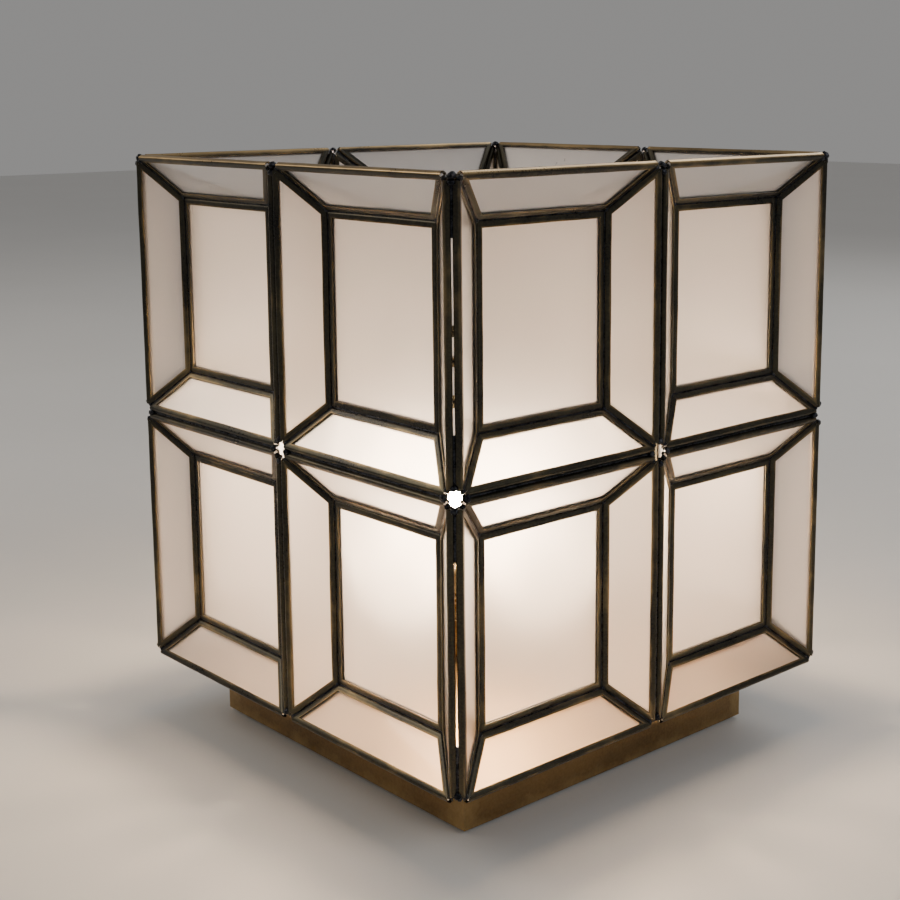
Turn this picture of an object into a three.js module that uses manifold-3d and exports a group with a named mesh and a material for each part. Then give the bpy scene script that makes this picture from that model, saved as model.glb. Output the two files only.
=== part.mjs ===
// A cube table lamp of frosted glass panes held in brass came, open at the top, on an inset brass plinth.
// Millimetres, +Z up. The origin is the middle of the footprint, on the surface that the feet stand on.
// Each of the four faces has two by two cells, and each cell is a shallow pyramid sunk into the face:
// a flat centre pane with four sloping panes round it.
import * as THREE from "three";
import { mergeVertices } from "three/addons/utils/BufferGeometryUtils.js";
import Module from "manifold-3d";

// Shade
const SHADE_WIDTH = 280; // across the ridges of two opposite faces
const SHADE_HEIGHT = 297.5; // lower rim to upper rim
const RECESS_DEPTH = 17; // from a ridge line back to the centre panes
const SLOPE_RUN_SIDE = 25.5; // ridge to centre pane, measured across the face
const SLOPE_RUN_UP = 24; // ridge to centre pane, measured up the face
const GLASS_THICKNESS = 2;
const CAME_WALL = 0.5; // sheet that the channel is rolled from
const CAME_LEG = 4; // how far the channel reaches over the glass
const SOLDER_BITE = 0.3; // how far the solder draws neighbouring channels together along a seam
const FIT_GAP = 0.3; // between pieces that touch

// Plinth and floor
const PLINTH_WIDTH = 216;
const PLINTH_TOP = 35.5; // height of the shade's lower rim above the table
const PLINTH_CLEARANCE = 2; // from the table to the lower edge of the plinth walls
const PLINTH_WALL = 1.2;
const CORNER_TAB = 16; // square tab in each lower corner, which takes a cover screw
const CORNER_TAB_THICKNESS = 3;
const FLOOR_PLATE_THICKNESS = 1.5;
const FLOOR_CORNER_CUT = 9;
const COVER_THICKNESS = 1.2;
const COVER_RECESS = 0.8; // from the walls' lower edge up to the cover
const FOOT_RADIUS = 8;
const FOOT_SETBACK = 23; // from the plinth's outside to a foot's axis
const SCREW_SETBACK = 9;
const SCREW_RADIUS = 1.5;
const SCREW_HEAD_RADIUS = 2.9;
const SCREW_HEAD_FLAT_RADIUS = 2; // inside its bevel
const SCREW_HEAD_HEIGHT = 1.2;
const SCREW_LENGTH = 6;

// Cord inlet
const INLET_BORE_RADIUS = 4;
const INLET_SHANK_RADIUS = 6;
const INLET_FLANGE_RADIUS = 9;
const INLET_FLANGE_THICKNESS = 2;
const INLET_FLANGE_BEVEL = 1;
const INLET_SHANK_LENGTH = 8;
const INLET_HEIGHT = 17; // axis above the table

// Lampholder and its fixing
const NIPPLE_RADIUS = 5;
const NIPPLE_BORE_RADIUS = 3.5;
const NIPPLE_LENGTH = 20;
const NIPPLE_ABOVE_FLOOR = 6; // how far it stands up inside the holder
const WASHER_RADIUS = 10;
const WASHER_THICKNESS = 1;
const NUT_ACROSS_CORNERS = 16.2;
const NUT_HEIGHT = 4.5;
const HOLDER_RADIUS = 19.5;
const HOLDER_WALL = 1.5;
const HOLDER_CAP_HEIGHT = 25;
const HOLDER_SLEEVE_HEIGHT = 30;
const HOLDER_SHOULDER = 5; // height of the cap's slanted shoulder
const HOLDER_TOP_BEVEL = 3; // height of the bevel on the sleeve's upper edge
const INSULATOR_HEIGHT = 13;
const INSULATOR_BELOW_SPLIT = 3; // its top, under the split between cap and sleeve
const CONTACT_RADIUS = 4;
const CONTACT_THICKNESS = 0.9;
const SHELL_WALL = 0.6;
const SHELL_LENGTH = 23;

// Bulb
const BULB_CAP_RADIUS = 13.2;
const BULB_CAP_LENGTH = 24.5;
const BULB_TIP_STEP = 1; // the solder button widens by this much
const BULB_TIP_HEIGHT = 1.5; // of the solder button
const BULB_CONE_HEIGHT = 3; // the insulated cone above the button
const BULB_CONE_SETBACK = 2; // from the cap's side in to the top of the cone
const BULB_CONE_BEVEL = 2; // height of the bevel from the cone out to the cap's side
const BULB_RADIUS = 30;
const BULB_GLASS_LENGTH = 81;
const BULB_NECK_RADIUS = 12.6;
const BULB_NECK_PULL = 0.45; // share of the neck's height that its curve stays upright at each end
const BULB_NECK_POINTS = 5;
const BULB_BALL_POINTS = 4;

// Turned pieces wider than this across get the finer number of flats.
const LARGE_RADIUS = 8;
const LARGE_STEPS = 18;
const SMALL_STEPS = 10;
const SPARE = 1; // how far cutting shapes reach past what they cut
const QUARTER_TURN = Math.PI / 2;

const wasm = await Module();
wasm.setup();

// Finishes
function brass() {
  return new THREE.MeshStandardMaterial({ color: 0x6e5a30, roughness: 0.45, metalness: 1 });
}

function agedCame() {
  return new THREE.MeshStandardMaterial({ color: 0x3f3a2a, roughness: 0.5, metalness: 0.9 });
}

function frostedGlass() {
  return new THREE.MeshStandardMaterial({ color: 0xe6dcd0, roughness: 0.6, metalness: 0 });
}

function steel() {
  return new THREE.MeshStandardMaterial({ color: 0xb9b9b6, roughness: 0.35, metalness: 1 });
}

function rubber() {
  return new THREE.MeshStandardMaterial({ color: 0x1d1d1d, roughness: 0.9, metalness: 0 });
}

function whitePorcelain() {
  return new THREE.MeshStandardMaterial({ color: 0xeeece4, roughness: 0.4, metalness: 0 });
}

function opalGlass() {
  return new THREE.MeshStandardMaterial({ color: 0xfff4e0, roughness: 0.3, metalness: 0 });
}

// Solids and meshes
function solidFrom(geometry) {
  const bare = geometry.clone();
  bare.deleteAttribute("normal");
  bare.deleteAttribute("uv");
  const merged = mergeVertices(bare, 1e-4);
  return new wasm.Manifold(
    new wasm.Mesh({
      numProp: 3,
      vertProperties: new Float32Array(merged.attributes.position.array),
      triVerts: new Uint32Array(merged.index.array),
    }),
  );
}

function geometryFrom(solid) {
  const mesh = solid.getMesh();
  const geometry = new THREE.BufferGeometry();
  geometry.setAttribute("position", new THREE.BufferAttribute(mesh.vertProperties, 3));
  geometry.setIndex(new THREE.BufferAttribute(mesh.triVerts, 1));
  geometry.computeVertexNormals();
  return geometry;
}

function joined(solids) {
  return solids.reduce((all, solid) => all.add(solid));
}

function named(name, geometry, material) {
  const mesh = new THREE.Mesh(geometry, material);
  mesh.name = name;
  return mesh;
}

function boxSolid(width, depth, height, x, y, z) {
  return solidFrom(new THREE.BoxGeometry(width, depth, height).translate(x, y, z + height / 2));
}

function roundSteps(radius) {
  return radius > LARGE_RADIUS ? LARGE_STEPS : SMALL_STEPS;
}

function rodSolid(radius, height, x, y, z) {
  const rod = new THREE.CylinderGeometry(radius, radius, height, roundSteps(radius));
  return solidFrom(rod.rotateX(QUARTER_TURN).translate(x, y, z + height / 2));
}

// A turned shape about the Z axis from [radius, height] points, listed from the bottom up the outside.
function turned(points) {
  const profile = points.map(([radius, height]) => new THREE.Vector2(radius, height));
  const widest = Math.max(...points.map(([radius]) => radius));
  return new THREE.LatheGeometry(profile, roundSteps(widest)).rotateX(QUARTER_TURN);
}

// A turned ring: its profile runs up the outside, down the inside and closes on its first point.
function turnedRing(points) {
  return turned([...points, points[0]]);
}

// Angles and seams of the sunk cells
const halfChannel = GLASS_THICKNESS / 2 + FIT_GAP + CAME_WALL;
const sideTilt = Math.atan2(RECESS_DEPTH, SLOPE_RUN_SIDE);
const upTilt = Math.atan2(RECESS_DEPTH, SLOPE_RUN_UP);
const diagonalFold = Math.acos(Math.cos(sideTilt) * Math.cos(upTilt));

// Two square-backed channels whose panes meet at an angle would touch this far short of the fold line.
// Soldered ones bite into each other a little.
function setback(halfAngle) {
  return halfChannel * Math.tan(halfAngle) - SOLDER_BITE / 2;
}

const seams = {
  ridgeSide: { inset: setback(sideTilt) },
  ridgeUp: { inset: setback(upTilt) },
  valleySide: { inset: setback(sideTilt / 2) },
  valleyUp: { inset: setback(upTilt / 2) },
  diagonal: { inset: setback(diagonalFold / 2), glassRunsOn: true },
};

// The ridge lines lie this far behind the face plane, so that the channels just reach it.
const ridgeDepth =
  halfChannel * Math.cos(sideTilt) - seams.ridgeSide.inset * Math.sin(sideTilt);

// The outermost channels of two faces meet along the cube's upright edges, with a gap on the mitre between
// them. Their inner back corner is this deep, and from it follows how far out a face's last fold lies.
const cornerChannelDepth =
  ridgeDepth +
  seams.ridgeSide.inset * Math.sin(sideTilt) +
  halfChannel * Math.cos(sideTilt);
const cornerChannelAcross = SHADE_WIDTH / 2 - cornerChannelDepth - FIT_GAP * Math.SQRT1_2;
const halfFace =
  cornerChannelAcross +
  seams.ridgeSide.inset * Math.cos(sideTilt) -
  halfChannel * Math.sin(sideTilt);

// A point of the front face: across it, up from the lower rim, and in from the face plane.
function onFace(across, up, depth) {
  return new THREE.Vector3(across, depth - SHADE_WIDTH / 2, PLINTH_TOP + up);
}

// One pane: its fold lines as a four-cornered outline, seen counter-clockwise from outside, with the
// seam on each side. Side i runs from corner i to the next.
function makePane(corners, sideSeams) {
  const along = corners[1].clone().sub(corners[0]).normalize();
  const toLast = corners[3].clone().sub(corners[0]);
  const outward = along.clone().cross(toLast).normalize();
  const inPlane = outward.clone().cross(along);
  const frame = new THREE.Matrix4().makeBasis(along, inPlane, outward).setPosition(corners[0]);
  const flat = corners.map((corner) => {
    const offset = corner.clone().sub(corners[0]);
    return new THREE.Vector2(offset.dot(along), offset.dot(inPlane));
  });
  return { frame, flat, sideSeams };
}

// What is left of a convex outline on the inner side of a line, given by a point and an inward normal.
function cutOutline(outline, point, inward) {
  const kept = [];
  outline.forEach((here, i) => {
    const next = outline[(i + 1) % outline.length];
    const a = here.clone().sub(point).dot(inward);
    const b = next.clone().sub(point).dot(inward);
    if (a >= 0) kept.push(here);
    if (a * b < 0) kept.push(here.clone().lerp(next, a / (a - b)));
  });
  return kept;
}

// The pane's outline with each side moved in by insetOf(seam)
function paneOutline(pane, insetOf) {
  const { flat, sideSeams } = pane;
  const margin = FIT_GAP + SPARE;
  const xs = flat.map((p) => p.x);
  const ys = flat.map((p) => p.y);
  const [left, right] = [Math.min(...xs) - margin, Math.max(...xs) + margin];
  const [low, high] = [Math.min(...ys) - margin, Math.max(...ys) + margin];
  let outline = [
    new THREE.Vector2(left, low),
    new THREE.Vector2(right, low),
    new THREE.Vector2(right, high),
    new THREE.Vector2(left, high),
  ];
  flat.forEach((corner, i) => {
    const side = flat[(i + 1) % flat.length].clone().sub(corner).normalize();
    const inward = new THREE.Vector2(-side.y, side.x);
    const inset = insetOf(sideSeams[i]);
    outline = cutOutline(outline, corner.clone().addScaledVector(inward, inset), inward);
  });
  return outline;
}

function paneSlab(pane, insetOf, thickness) {
  const shape = new THREE.Shape(paneOutline(pane, insetOf));
  const slab = new THREE.ExtrudeGeometry(shape, { depth: thickness, bevelEnabled: false });
  return slab.translate(0, 0, -thickness / 2).applyMatrix4(pane.frame);
}

const channelInset = (seam) => seam.inset;
const windowInset = (seam) => seam.inset + CAME_LEG;
const glassInset = (seam) => (seam.glassRunsOn ? 0 : seam.inset + CAME_WALL + FIT_GAP);
const grooveInset = (seam) => (seam.glassRunsOn ? -FIT_GAP : seam.inset + CAME_WALL);

function channelSolid(pane) {
  const whole = solidFrom(paneSlab(pane, channelInset, 2 * halfChannel));
  return whole.subtract(solidFrom(paneSlab(pane, windowInset, 4 * halfChannel)));
}

function glassSolid(pane) {
  return solidFrom(paneSlab(pane, glassInset, GLASS_THICKNESS));
}

function grooveSolid(pane) {
  return solidFrom(paneSlab(pane, grooveInset, GLASS_THICKNESS + 2 * FIT_GAP));
}

// One cell of the front face: its centre pane and the four sloping panes round it.
function makeCell(column, row) {
  const cellWidth = halfFace;
  const cellHeight = SHADE_HEIGHT / 2;
  const left = (column - 1) * cellWidth;
  const low = row * cellHeight;
  const right = left + cellWidth;
  const high = low + cellHeight;
  const backDepth = ridgeDepth + RECESS_DEPTH;
  const outer = [
    onFace(left, low, ridgeDepth),
    onFace(right, low, ridgeDepth),
    onFace(right, high, ridgeDepth),
    onFace(left, high, ridgeDepth),
  ];
  const inner = [
    onFace(left + SLOPE_RUN_SIDE, low + SLOPE_RUN_UP, backDepth),
    onFace(right - SLOPE_RUN_SIDE, low + SLOPE_RUN_UP, backDepth),
    onFace(right - SLOPE_RUN_SIDE, high - SLOPE_RUN_UP, backDepth),
    onFace(left + SLOPE_RUN_SIDE, high - SLOPE_RUN_UP, backDepth),
  ];
  const { ridgeSide, ridgeUp, valleySide, valleyUp, diagonal } = seams;
  const valleys = [valleyUp, valleySide, valleyUp, valleySide];
  const ridges = [ridgeUp, ridgeSide, ridgeUp, ridgeSide];
  const centre = makePane(inner, valleys);
  const slopes = [0, 1, 2, 3].map((i) => {
    const next = (i + 1) % 4;
    return makePane(
      [outer[i], outer[next], inner[next], inner[i]],
      [ridges[i], diagonal, valleys[i], diagonal],
    );
  });
  return { centre, slopes };
}

const cellPlaces = [
  ["lower_left", 0, 0],
  ["lower_right", 1, 0],
  ["upper_left", 0, 1],
  ["upper_right", 1, 1],
];
const cells = cellPlaces.map(([place, column, row]) => ({ place, ...makeCell(column, row) }));

const allPanes = cells.flatMap((cell) => [cell.centre, ...cell.slopes]);
const channels = joined(allPanes.map(channelSolid));
const grooves = joined(allPanes.map(grooveSolid));
const latticeSolid = channels.subtract(grooves);

// One face: the soldered lattice of came, four centre panes and four rings of sloping panes.
function facePanel(face, turns) {
  const panel = new THREE.Group();
  panel.rotation.z = turns * QUARTER_TURN;
  panel.add(named(`${face}_came_lattice`, geometryFrom(latticeSolid), agedCame()));
  cells.forEach(({ place, centre, slopes }) => {
    const flatPane = paneSlab(centre, glassInset, GLASS_THICKNESS);
    const slopingPanes = geometryFrom(joined(slopes.map(glassSolid)));
    panel.add(named(`${face}_${place}_pane`, flatPane, frostedGlass()));
    panel.add(named(`${face}_${place}_bevel_panes`, slopingPanes, frostedGlass()));
  });
  return panel;
}

// Square plate under the glass, inside the lower rim, with its corners cut off
const floorBottom = PLINTH_TOP + FIT_GAP;
const floorTop = floorBottom + FLOOR_PLATE_THICKNESS;
const nippleClear = NIPPLE_RADIUS + FIT_GAP;

function floorPlate() {
  const slopeDepth = (floorTop - PLINTH_TOP) * Math.tan(upTilt) + halfChannel / Math.cos(upTilt);
  const half = SHADE_WIDTH / 2 - ridgeDepth - slopeDepth - FIT_GAP;
  const cut = half - FLOOR_CORNER_CUT;
  const corners = [
    [cut, -half],
    [half, -cut],
    [half, cut],
    [cut, half],
    [-cut, half],
    [-half, cut],
    [-half, -cut],
    [-cut, -half],
  ];
  const plan = new THREE.Shape(corners.map(([x, y]) => new THREE.Vector2(x, y)));
  const depth = FLOOR_PLATE_THICKNESS;
  const plate = new THREE.ExtrudeGeometry(plan, { depth, bevelEnabled: false });
  const hole = rodSolid(nippleClear, depth + 2 * SPARE, 0, 0, floorBottom - SPARE);
  const solid = solidFrom(plate.translate(0, 0, floorBottom)).subtract(hole);
  return named("shade_floor_plate", geometryFrom(solid), brass());
}

// Plinth: a folded brass box, open below, with a screw tab in each corner
const plinthHeight = PLINTH_TOP - PLINTH_CLEARANCE;
const plinthInside = PLINTH_WIDTH - 2 * PLINTH_WALL;
const coverBottom = PLINTH_CLEARANCE + COVER_RECESS;
const coverTop = coverBottom + COVER_THICKNESS;
const screwPlace = PLINTH_WIDTH / 2 - SCREW_SETBACK;
const screwHoleRadius = SCREW_RADIUS + FIT_GAP;
const signs = [
  ["front_left", -1, -1],
  ["front_right", 1, -1],
  ["back_right", 1, 1],
  ["back_left", -1, 1],
];

function plinthShell() {
  const whole = boxSolid(PLINTH_WIDTH, PLINTH_WIDTH, plinthHeight, 0, 0, PLINTH_CLEARANCE);
  const hollow = boxSolid(plinthInside, plinthInside, plinthHeight, 0, 0, PLINTH_CLEARANCE - PLINTH_WALL);
  const tabZ = coverTop + FIT_GAP;
  const tabPlace = plinthInside / 2 - CORNER_TAB / 2 + PLINTH_WALL / 2;
  let shell = whole.subtract(hollow);
  signs.forEach(([, sx, sy]) => {
    const side = CORNER_TAB + PLINTH_WALL;
    const tab = boxSolid(side, side, CORNER_TAB_THICKNESS, sx * tabPlace, sy * tabPlace, tabZ);
    const length = CORNER_TAB_THICKNESS + 2 * SPARE;
    const hole = rodSolid(screwHoleRadius, length, sx * screwPlace, sy * screwPlace, tabZ - SPARE);
    shell = shell.add(tab).subtract(hole);
  });
  const holeLength = PLINTH_WALL + 2 * SPARE;
  const nippleHole = rodSolid(nippleClear, holeLength, 0, 0, PLINTH_TOP - PLINTH_WALL - SPARE);
  const inletRadius = INLET_SHANK_RADIUS + FIT_GAP;
  const inletLength = 2 * (PLINTH_WALL + SPARE);
  const steps = roundSteps(INLET_FLANGE_RADIUS);
  const inletHole = new THREE.CylinderGeometry(inletRadius, inletRadius, inletLength, steps);
  inletHole.translate(0, PLINTH_WIDTH / 2, INLET_HEIGHT);
  const solid = shell.subtract(nippleHole).subtract(solidFrom(inletHole));
  return named("plinth_shell", geometryFrom(solid), brass());
}

function bottomCover() {
  const side = plinthInside - 2 * FIT_GAP;
  let cover = boxSolid(side, side, COVER_THICKNESS, 0, 0, coverBottom);
  signs.forEach(([, sx, sy]) => {
    const length = COVER_THICKNESS + 2 * SPARE;
    const hole = rodSolid(screwHoleRadius, length, sx * screwPlace, sy * screwPlace, coverBottom - SPARE);
    cover = cover.subtract(hole);
  });
  return named("bottom_cover", geometryFrom(cover), steel());
}

function coverScrew(corner, sx, sy) {
  const top = coverBottom - FIT_GAP;
  const head = top - SCREW_HEAD_HEIGHT;
  const screw = turned([
    [0, head],
    [SCREW_HEAD_FLAT_RADIUS, head],
    [SCREW_HEAD_RADIUS, head + SCREW_HEAD_HEIGHT / 2],
    [SCREW_HEAD_RADIUS, top],
    [SCREW_RADIUS, top],
    [SCREW_RADIUS, top + SCREW_LENGTH],
    [0, top + SCREW_LENGTH],
  ]);
  const mesh = named(`cover_screw_${corner}`, screw, steel());
  mesh.position.set(sx * screwPlace, sy * screwPlace, 0);
  return mesh;
}

function foot(corner, sx, sy) {
  const top = coverBottom - FIT_GAP;
  const pad = turned([
    [0, 0],
    [FOOT_RADIUS, 0],
    [FOOT_RADIUS, top],
    [0, top],
  ]);
  const mesh = named(`foot_${corner}`, pad, rubber());
  const place = PLINTH_WIDTH / 2 - FOOT_SETBACK;
  mesh.position.set(sx * place, sy * place, 0);
  return mesh;
}

// A bush through the back wall: a flange outside and a shank inside
function cordInletBush() {
  const outside = PLINTH_WIDTH / 2 + FIT_GAP;
  const bush = turnedRing([
    [INLET_BORE_RADIUS, -INLET_SHANK_LENGTH],
    [INLET_SHANK_RADIUS, -INLET_SHANK_LENGTH],
    [INLET_SHANK_RADIUS, 0],
    [INLET_FLANGE_RADIUS, 0],
    [INLET_FLANGE_RADIUS, INLET_FLANGE_THICKNESS - INLET_FLANGE_BEVEL],
    [INLET_FLANGE_RADIUS - INLET_FLANGE_BEVEL, INLET_FLANGE_THICKNESS],
    [INLET_BORE_RADIUS, INLET_FLANGE_THICKNESS],
  ]);
  bush.rotateX(-QUARTER_TURN).translate(0, outside, INLET_HEIGHT);
  return named("cord_inlet_bush", bush, rubber());
}

// Threaded tube with a washer and a nut below, which clamps the holder, floor plate and plinth together
const nippleTop = floorTop + NIPPLE_ABOVE_FLOOR;

function nipple() {
  const bottom = nippleTop - NIPPLE_LENGTH;
  const tube = turnedRing([
    [NIPPLE_BORE_RADIUS, bottom],
    [NIPPLE_RADIUS, bottom],
    [NIPPLE_RADIUS, nippleTop],
    [NIPPLE_BORE_RADIUS, nippleTop],
  ]);
  return named("threaded_nipple", tube, steel());
}

const washerTop = PLINTH_TOP - PLINTH_WALL - FIT_GAP;
const washerBottom = washerTop - WASHER_THICKNESS;

function washer() {
  const ring = turnedRing([
    [nippleClear, washerBottom],
    [WASHER_RADIUS, washerBottom],
    [WASHER_RADIUS, washerTop],
    [nippleClear, washerTop],
  ]);
  return named("nipple_washer", ring, steel());
}

function lockNut() {
  const radius = NUT_ACROSS_CORNERS / 2;
  const top = washerBottom - FIT_GAP;
  const hexagon = new THREE.CylinderGeometry(radius, radius, NUT_HEIGHT, 6).rotateX(QUARTER_TURN);
  const block = solidFrom(hexagon.translate(0, 0, top - NUT_HEIGHT / 2));
  const hole = rodSolid(nippleClear, 3 * NUT_HEIGHT, 0, 0, top - 2 * NUT_HEIGHT);
  return named("lock_nut", geometryFrom(block.subtract(hole)), steel());
}

// Lampholder: cap, sleeve, porcelain insert, screw shell and centre contact
const holderBottom = floorTop + FIT_GAP;
const holderSplit = holderBottom + HOLDER_CAP_HEIGHT;
const sleeveBottom = holderSplit + FIT_GAP;
const insulatorTop = holderSplit - INSULATOR_BELOW_SPLIT;
const contactTop = insulatorTop + FIT_GAP + CONTACT_THICKNESS;
const shellInside = BULB_CAP_RADIUS + FIT_GAP;
const shellOutside = shellInside + SHELL_WALL;

function holderCap() {
  const inside = HOLDER_RADIUS - HOLDER_WALL;
  const slant = HOLDER_SHOULDER / 2;
  const cap = turnedRing([
    [nippleClear, holderBottom],
    [HOLDER_RADIUS - slant, holderBottom],
    [HOLDER_RADIUS, holderBottom + HOLDER_SHOULDER],
    [HOLDER_RADIUS, holderSplit],
    [inside, holderSplit],
    [inside, holderBottom + HOLDER_SHOULDER + HOLDER_WALL / 2],
    [inside - slant, holderBottom + HOLDER_WALL],
    [nippleClear, holderBottom + HOLDER_WALL],
  ]);
  return named("lampholder_cap", cap, brass());
}

function holderSleeve() {
  const inside = shellOutside + FIT_GAP;
  const top = sleeveBottom + HOLDER_SLEEVE_HEIGHT;
  const sleeve = turnedRing([
    [inside, sleeveBottom],
    [HOLDER_RADIUS, sleeveBottom],
    [HOLDER_RADIUS, top - HOLDER_TOP_BEVEL],
    [HOLDER_RADIUS - HOLDER_TOP_BEVEL / 2, top],
    [inside, top],
  ]);
  return named("lampholder_sleeve", sleeve, brass());
}

function insulator() {
  const radius = HOLDER_RADIUS - HOLDER_WALL - FIT_GAP;
  const block = turned([
    [0, insulatorTop - INSULATOR_HEIGHT],
    [radius, insulatorTop - INSULATOR_HEIGHT],
    [radius, insulatorTop],
    [0, insulatorTop],
  ]);
  return named("porcelain_insert", block, whitePorcelain());
}

function centreContact() {
  const disc = turned([
    [0, insulatorTop + FIT_GAP],
    [CONTACT_RADIUS, insulatorTop + FIT_GAP],
    [CONTACT_RADIUS, contactTop],
    [0, contactTop],
  ]);
  return named("centre_contact", disc, brass());
}

function screwShell() {
  const bottom = insulatorTop + FIT_GAP;
  const shell = turnedRing([
    [shellInside, bottom],
    [shellOutside, bottom],
    [shellOutside, bottom + SHELL_LENGTH],
    [shellInside, bottom + SHELL_LENGTH],
  ]);
  return named("screw_shell", shell, brass());
}

// Bulb: a metal screw cap and a pear-shaped glass
const bulbTip = contactTop + FIT_GAP;
const capTop = bulbTip + BULB_CAP_LENGTH;

function bulbCap() {
  const coneBottom = bulbTip + BULB_TIP_HEIGHT;
  const coneTop = coneBottom + BULB_CONE_HEIGHT;
  const cap = turned([
    [0, bulbTip],
    [CONTACT_RADIUS, bulbTip],
    [CONTACT_RADIUS + BULB_TIP_STEP, coneBottom],
    [BULB_CAP_RADIUS - BULB_CONE_SETBACK, coneTop],
    [BULB_CAP_RADIUS, coneTop + BULB_CONE_BEVEL],
    [BULB_CAP_RADIUS, capTop],
    [0, capTop],
  ]);
  return named("bulb_screw_cap", cap, steel());
}

// The pear shape: a ball on top, and below it a smooth curve in to the neck
function bulbGlass() {
  const bottom = capTop + FIT_GAP;
  const ballCentre = bottom + BULB_GLASS_LENGTH - BULB_RADIUS;
  const pull = BULB_NECK_PULL * (ballCentre - bottom);
  const neckCurve = new THREE.CubicBezierCurve(
    new THREE.Vector2(BULB_NECK_RADIUS, bottom),
    new THREE.Vector2(BULB_NECK_RADIUS, bottom + pull),
    new THREE.Vector2(BULB_RADIUS, ballCentre - pull),
    new THREE.Vector2(BULB_RADIUS, ballCentre),
  );
  const neck = neckCurve.getPoints(BULB_NECK_POINTS);
  const profile = [[0, bottom], ...neck.map((point) => [point.x, point.y])];
  for (let i = 1; i <= BULB_BALL_POINTS; i += 1) {
    const angle = (i / BULB_BALL_POINTS) * QUARTER_TURN;
    const radius = i === BULB_BALL_POINTS ? 0 : BULB_RADIUS * Math.cos(angle);
    profile.push([radius, ballCentre + BULB_RADIUS * Math.sin(angle)]);
  }
  return named("bulb_glass", turned(profile), opalGlass());
}

// Assembly
const lamp = new THREE.Group();
["front", "right", "back", "left"].forEach((face, turns) => lamp.add(facePanel(face, turns)));
lamp.add(floorPlate(), plinthShell(), bottomCover(), cordInletBush());
signs.forEach(([corner, sx, sy]) => lamp.add(coverScrew(corner, sx, sy), foot(corner, sx, sy)));
lamp.add(nipple(), washer(), lockNut());
lamp.add(holderCap(), holderSleeve(), insulator(), screwShell(), centreContact());
lamp.add(bulbCap(), bulbGlass());

export default lamp;
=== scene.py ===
import math

import bmesh
import bpy
from mathutils import Matrix, Vector, noise


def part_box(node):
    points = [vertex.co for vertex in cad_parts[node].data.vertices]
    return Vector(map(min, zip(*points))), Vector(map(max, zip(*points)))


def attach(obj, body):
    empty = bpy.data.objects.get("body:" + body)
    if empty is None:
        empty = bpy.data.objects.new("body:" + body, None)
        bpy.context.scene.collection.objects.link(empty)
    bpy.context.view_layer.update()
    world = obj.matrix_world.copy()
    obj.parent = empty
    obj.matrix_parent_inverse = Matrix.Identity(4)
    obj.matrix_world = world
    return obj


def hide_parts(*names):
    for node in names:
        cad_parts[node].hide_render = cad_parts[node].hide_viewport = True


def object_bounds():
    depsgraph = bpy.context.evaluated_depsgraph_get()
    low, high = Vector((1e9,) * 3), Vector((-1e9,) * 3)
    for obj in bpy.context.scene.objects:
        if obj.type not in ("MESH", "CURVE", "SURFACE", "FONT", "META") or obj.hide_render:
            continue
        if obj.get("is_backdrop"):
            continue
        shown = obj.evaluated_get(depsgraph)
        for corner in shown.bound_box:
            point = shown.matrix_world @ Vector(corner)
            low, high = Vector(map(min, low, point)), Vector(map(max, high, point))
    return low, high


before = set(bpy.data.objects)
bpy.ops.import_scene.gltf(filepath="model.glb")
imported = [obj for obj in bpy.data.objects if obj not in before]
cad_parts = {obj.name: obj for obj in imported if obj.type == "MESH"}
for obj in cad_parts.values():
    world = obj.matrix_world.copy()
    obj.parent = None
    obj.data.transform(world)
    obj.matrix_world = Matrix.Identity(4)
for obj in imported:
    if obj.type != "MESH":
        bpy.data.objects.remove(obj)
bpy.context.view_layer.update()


# ---- Camera ----
# It stands a little above the upper rim and looks at the front corner.
camera_data = bpy.data.cameras.new("camera")
camera_data.sensor_width = 36
camera_data.lens = 61.18
camera_data.shift_x = -0.05
camera_data.shift_y = -0.109
camera = bpy.data.objects.new("camera", camera_data)
bpy.context.scene.collection.objects.link(camera)
camera.matrix_world = (
    Matrix.Translation((0.6488, -0.5734, 0.3671))
    @ Matrix.Rotation(0.8368, 4, "Z")
    @ Matrix.Rotation(math.pi / 2 - 0.1691, 4, "X")
    @ Matrix.Rotation(-0.0057, 4, "Z")
)
bpy.context.scene.camera = camera


# ---- Came ----
# Brass strip rolled into a U-shaped channel and wrapped round each pane, then darkened with patina.
# Every side of a pane has its own length, mitred at the inner corners and cut short at the outer ones,
# where the open ends leave a ragged hole. The cell of five framed panes repeats four times on each face.
GLASS_THICKNESS = 0.002
CHANNEL_CLEARANCE = 0.0003
CHANNEL_WALL = 0.0005
CHANNEL_LEG = 0.0036
CHANNEL_ROUNDING = 0.0012
CHANNEL_OPEN_END = 0.0046  # from an outer corner to where the channels stop
SOLDER_BITE = 0.0003
RECESS_DEPTH = 0.017
SLOPE_RUN_SIDE = 0.0255
SLOPE_RUN_UP = 0.024
HAND_WOBBLE = 0.00012
CAME_STEP = 0.011
FACES = ("front", "right", "back", "left")
CELLS = (("lower_left", 0, 0), ("lower_right", 1, 0), ("upper_left", 0, 1), ("upper_right", 1, 1))

half_channel = GLASS_THICKNESS / 2 + CHANNEL_CLEARANCE + CHANNEL_WALL
side_tilt = math.atan2(RECESS_DEPTH, SLOPE_RUN_SIDE)
up_tilt = math.atan2(RECESS_DEPTH, SLOPE_RUN_UP)
diagonal_fold = math.acos(math.cos(side_tilt) * math.cos(up_tilt))


def seam_setback(half_angle):
    return half_channel * math.tan(half_angle) - SOLDER_BITE / 2


ridge_side = {"inset": seam_setback(side_tilt), "half_angle": side_tilt}
ridge_up = {"inset": seam_setback(up_tilt), "half_angle": up_tilt}
valley_side = {"inset": seam_setback(side_tilt / 2), "half_angle": side_tilt / 2}
valley_up = {"inset": seam_setback(up_tilt / 2), "half_angle": up_tilt / 2}
diagonal = {"inset": seam_setback(diagonal_fold / 2), "half_angle": diagonal_fold / 2}

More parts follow.
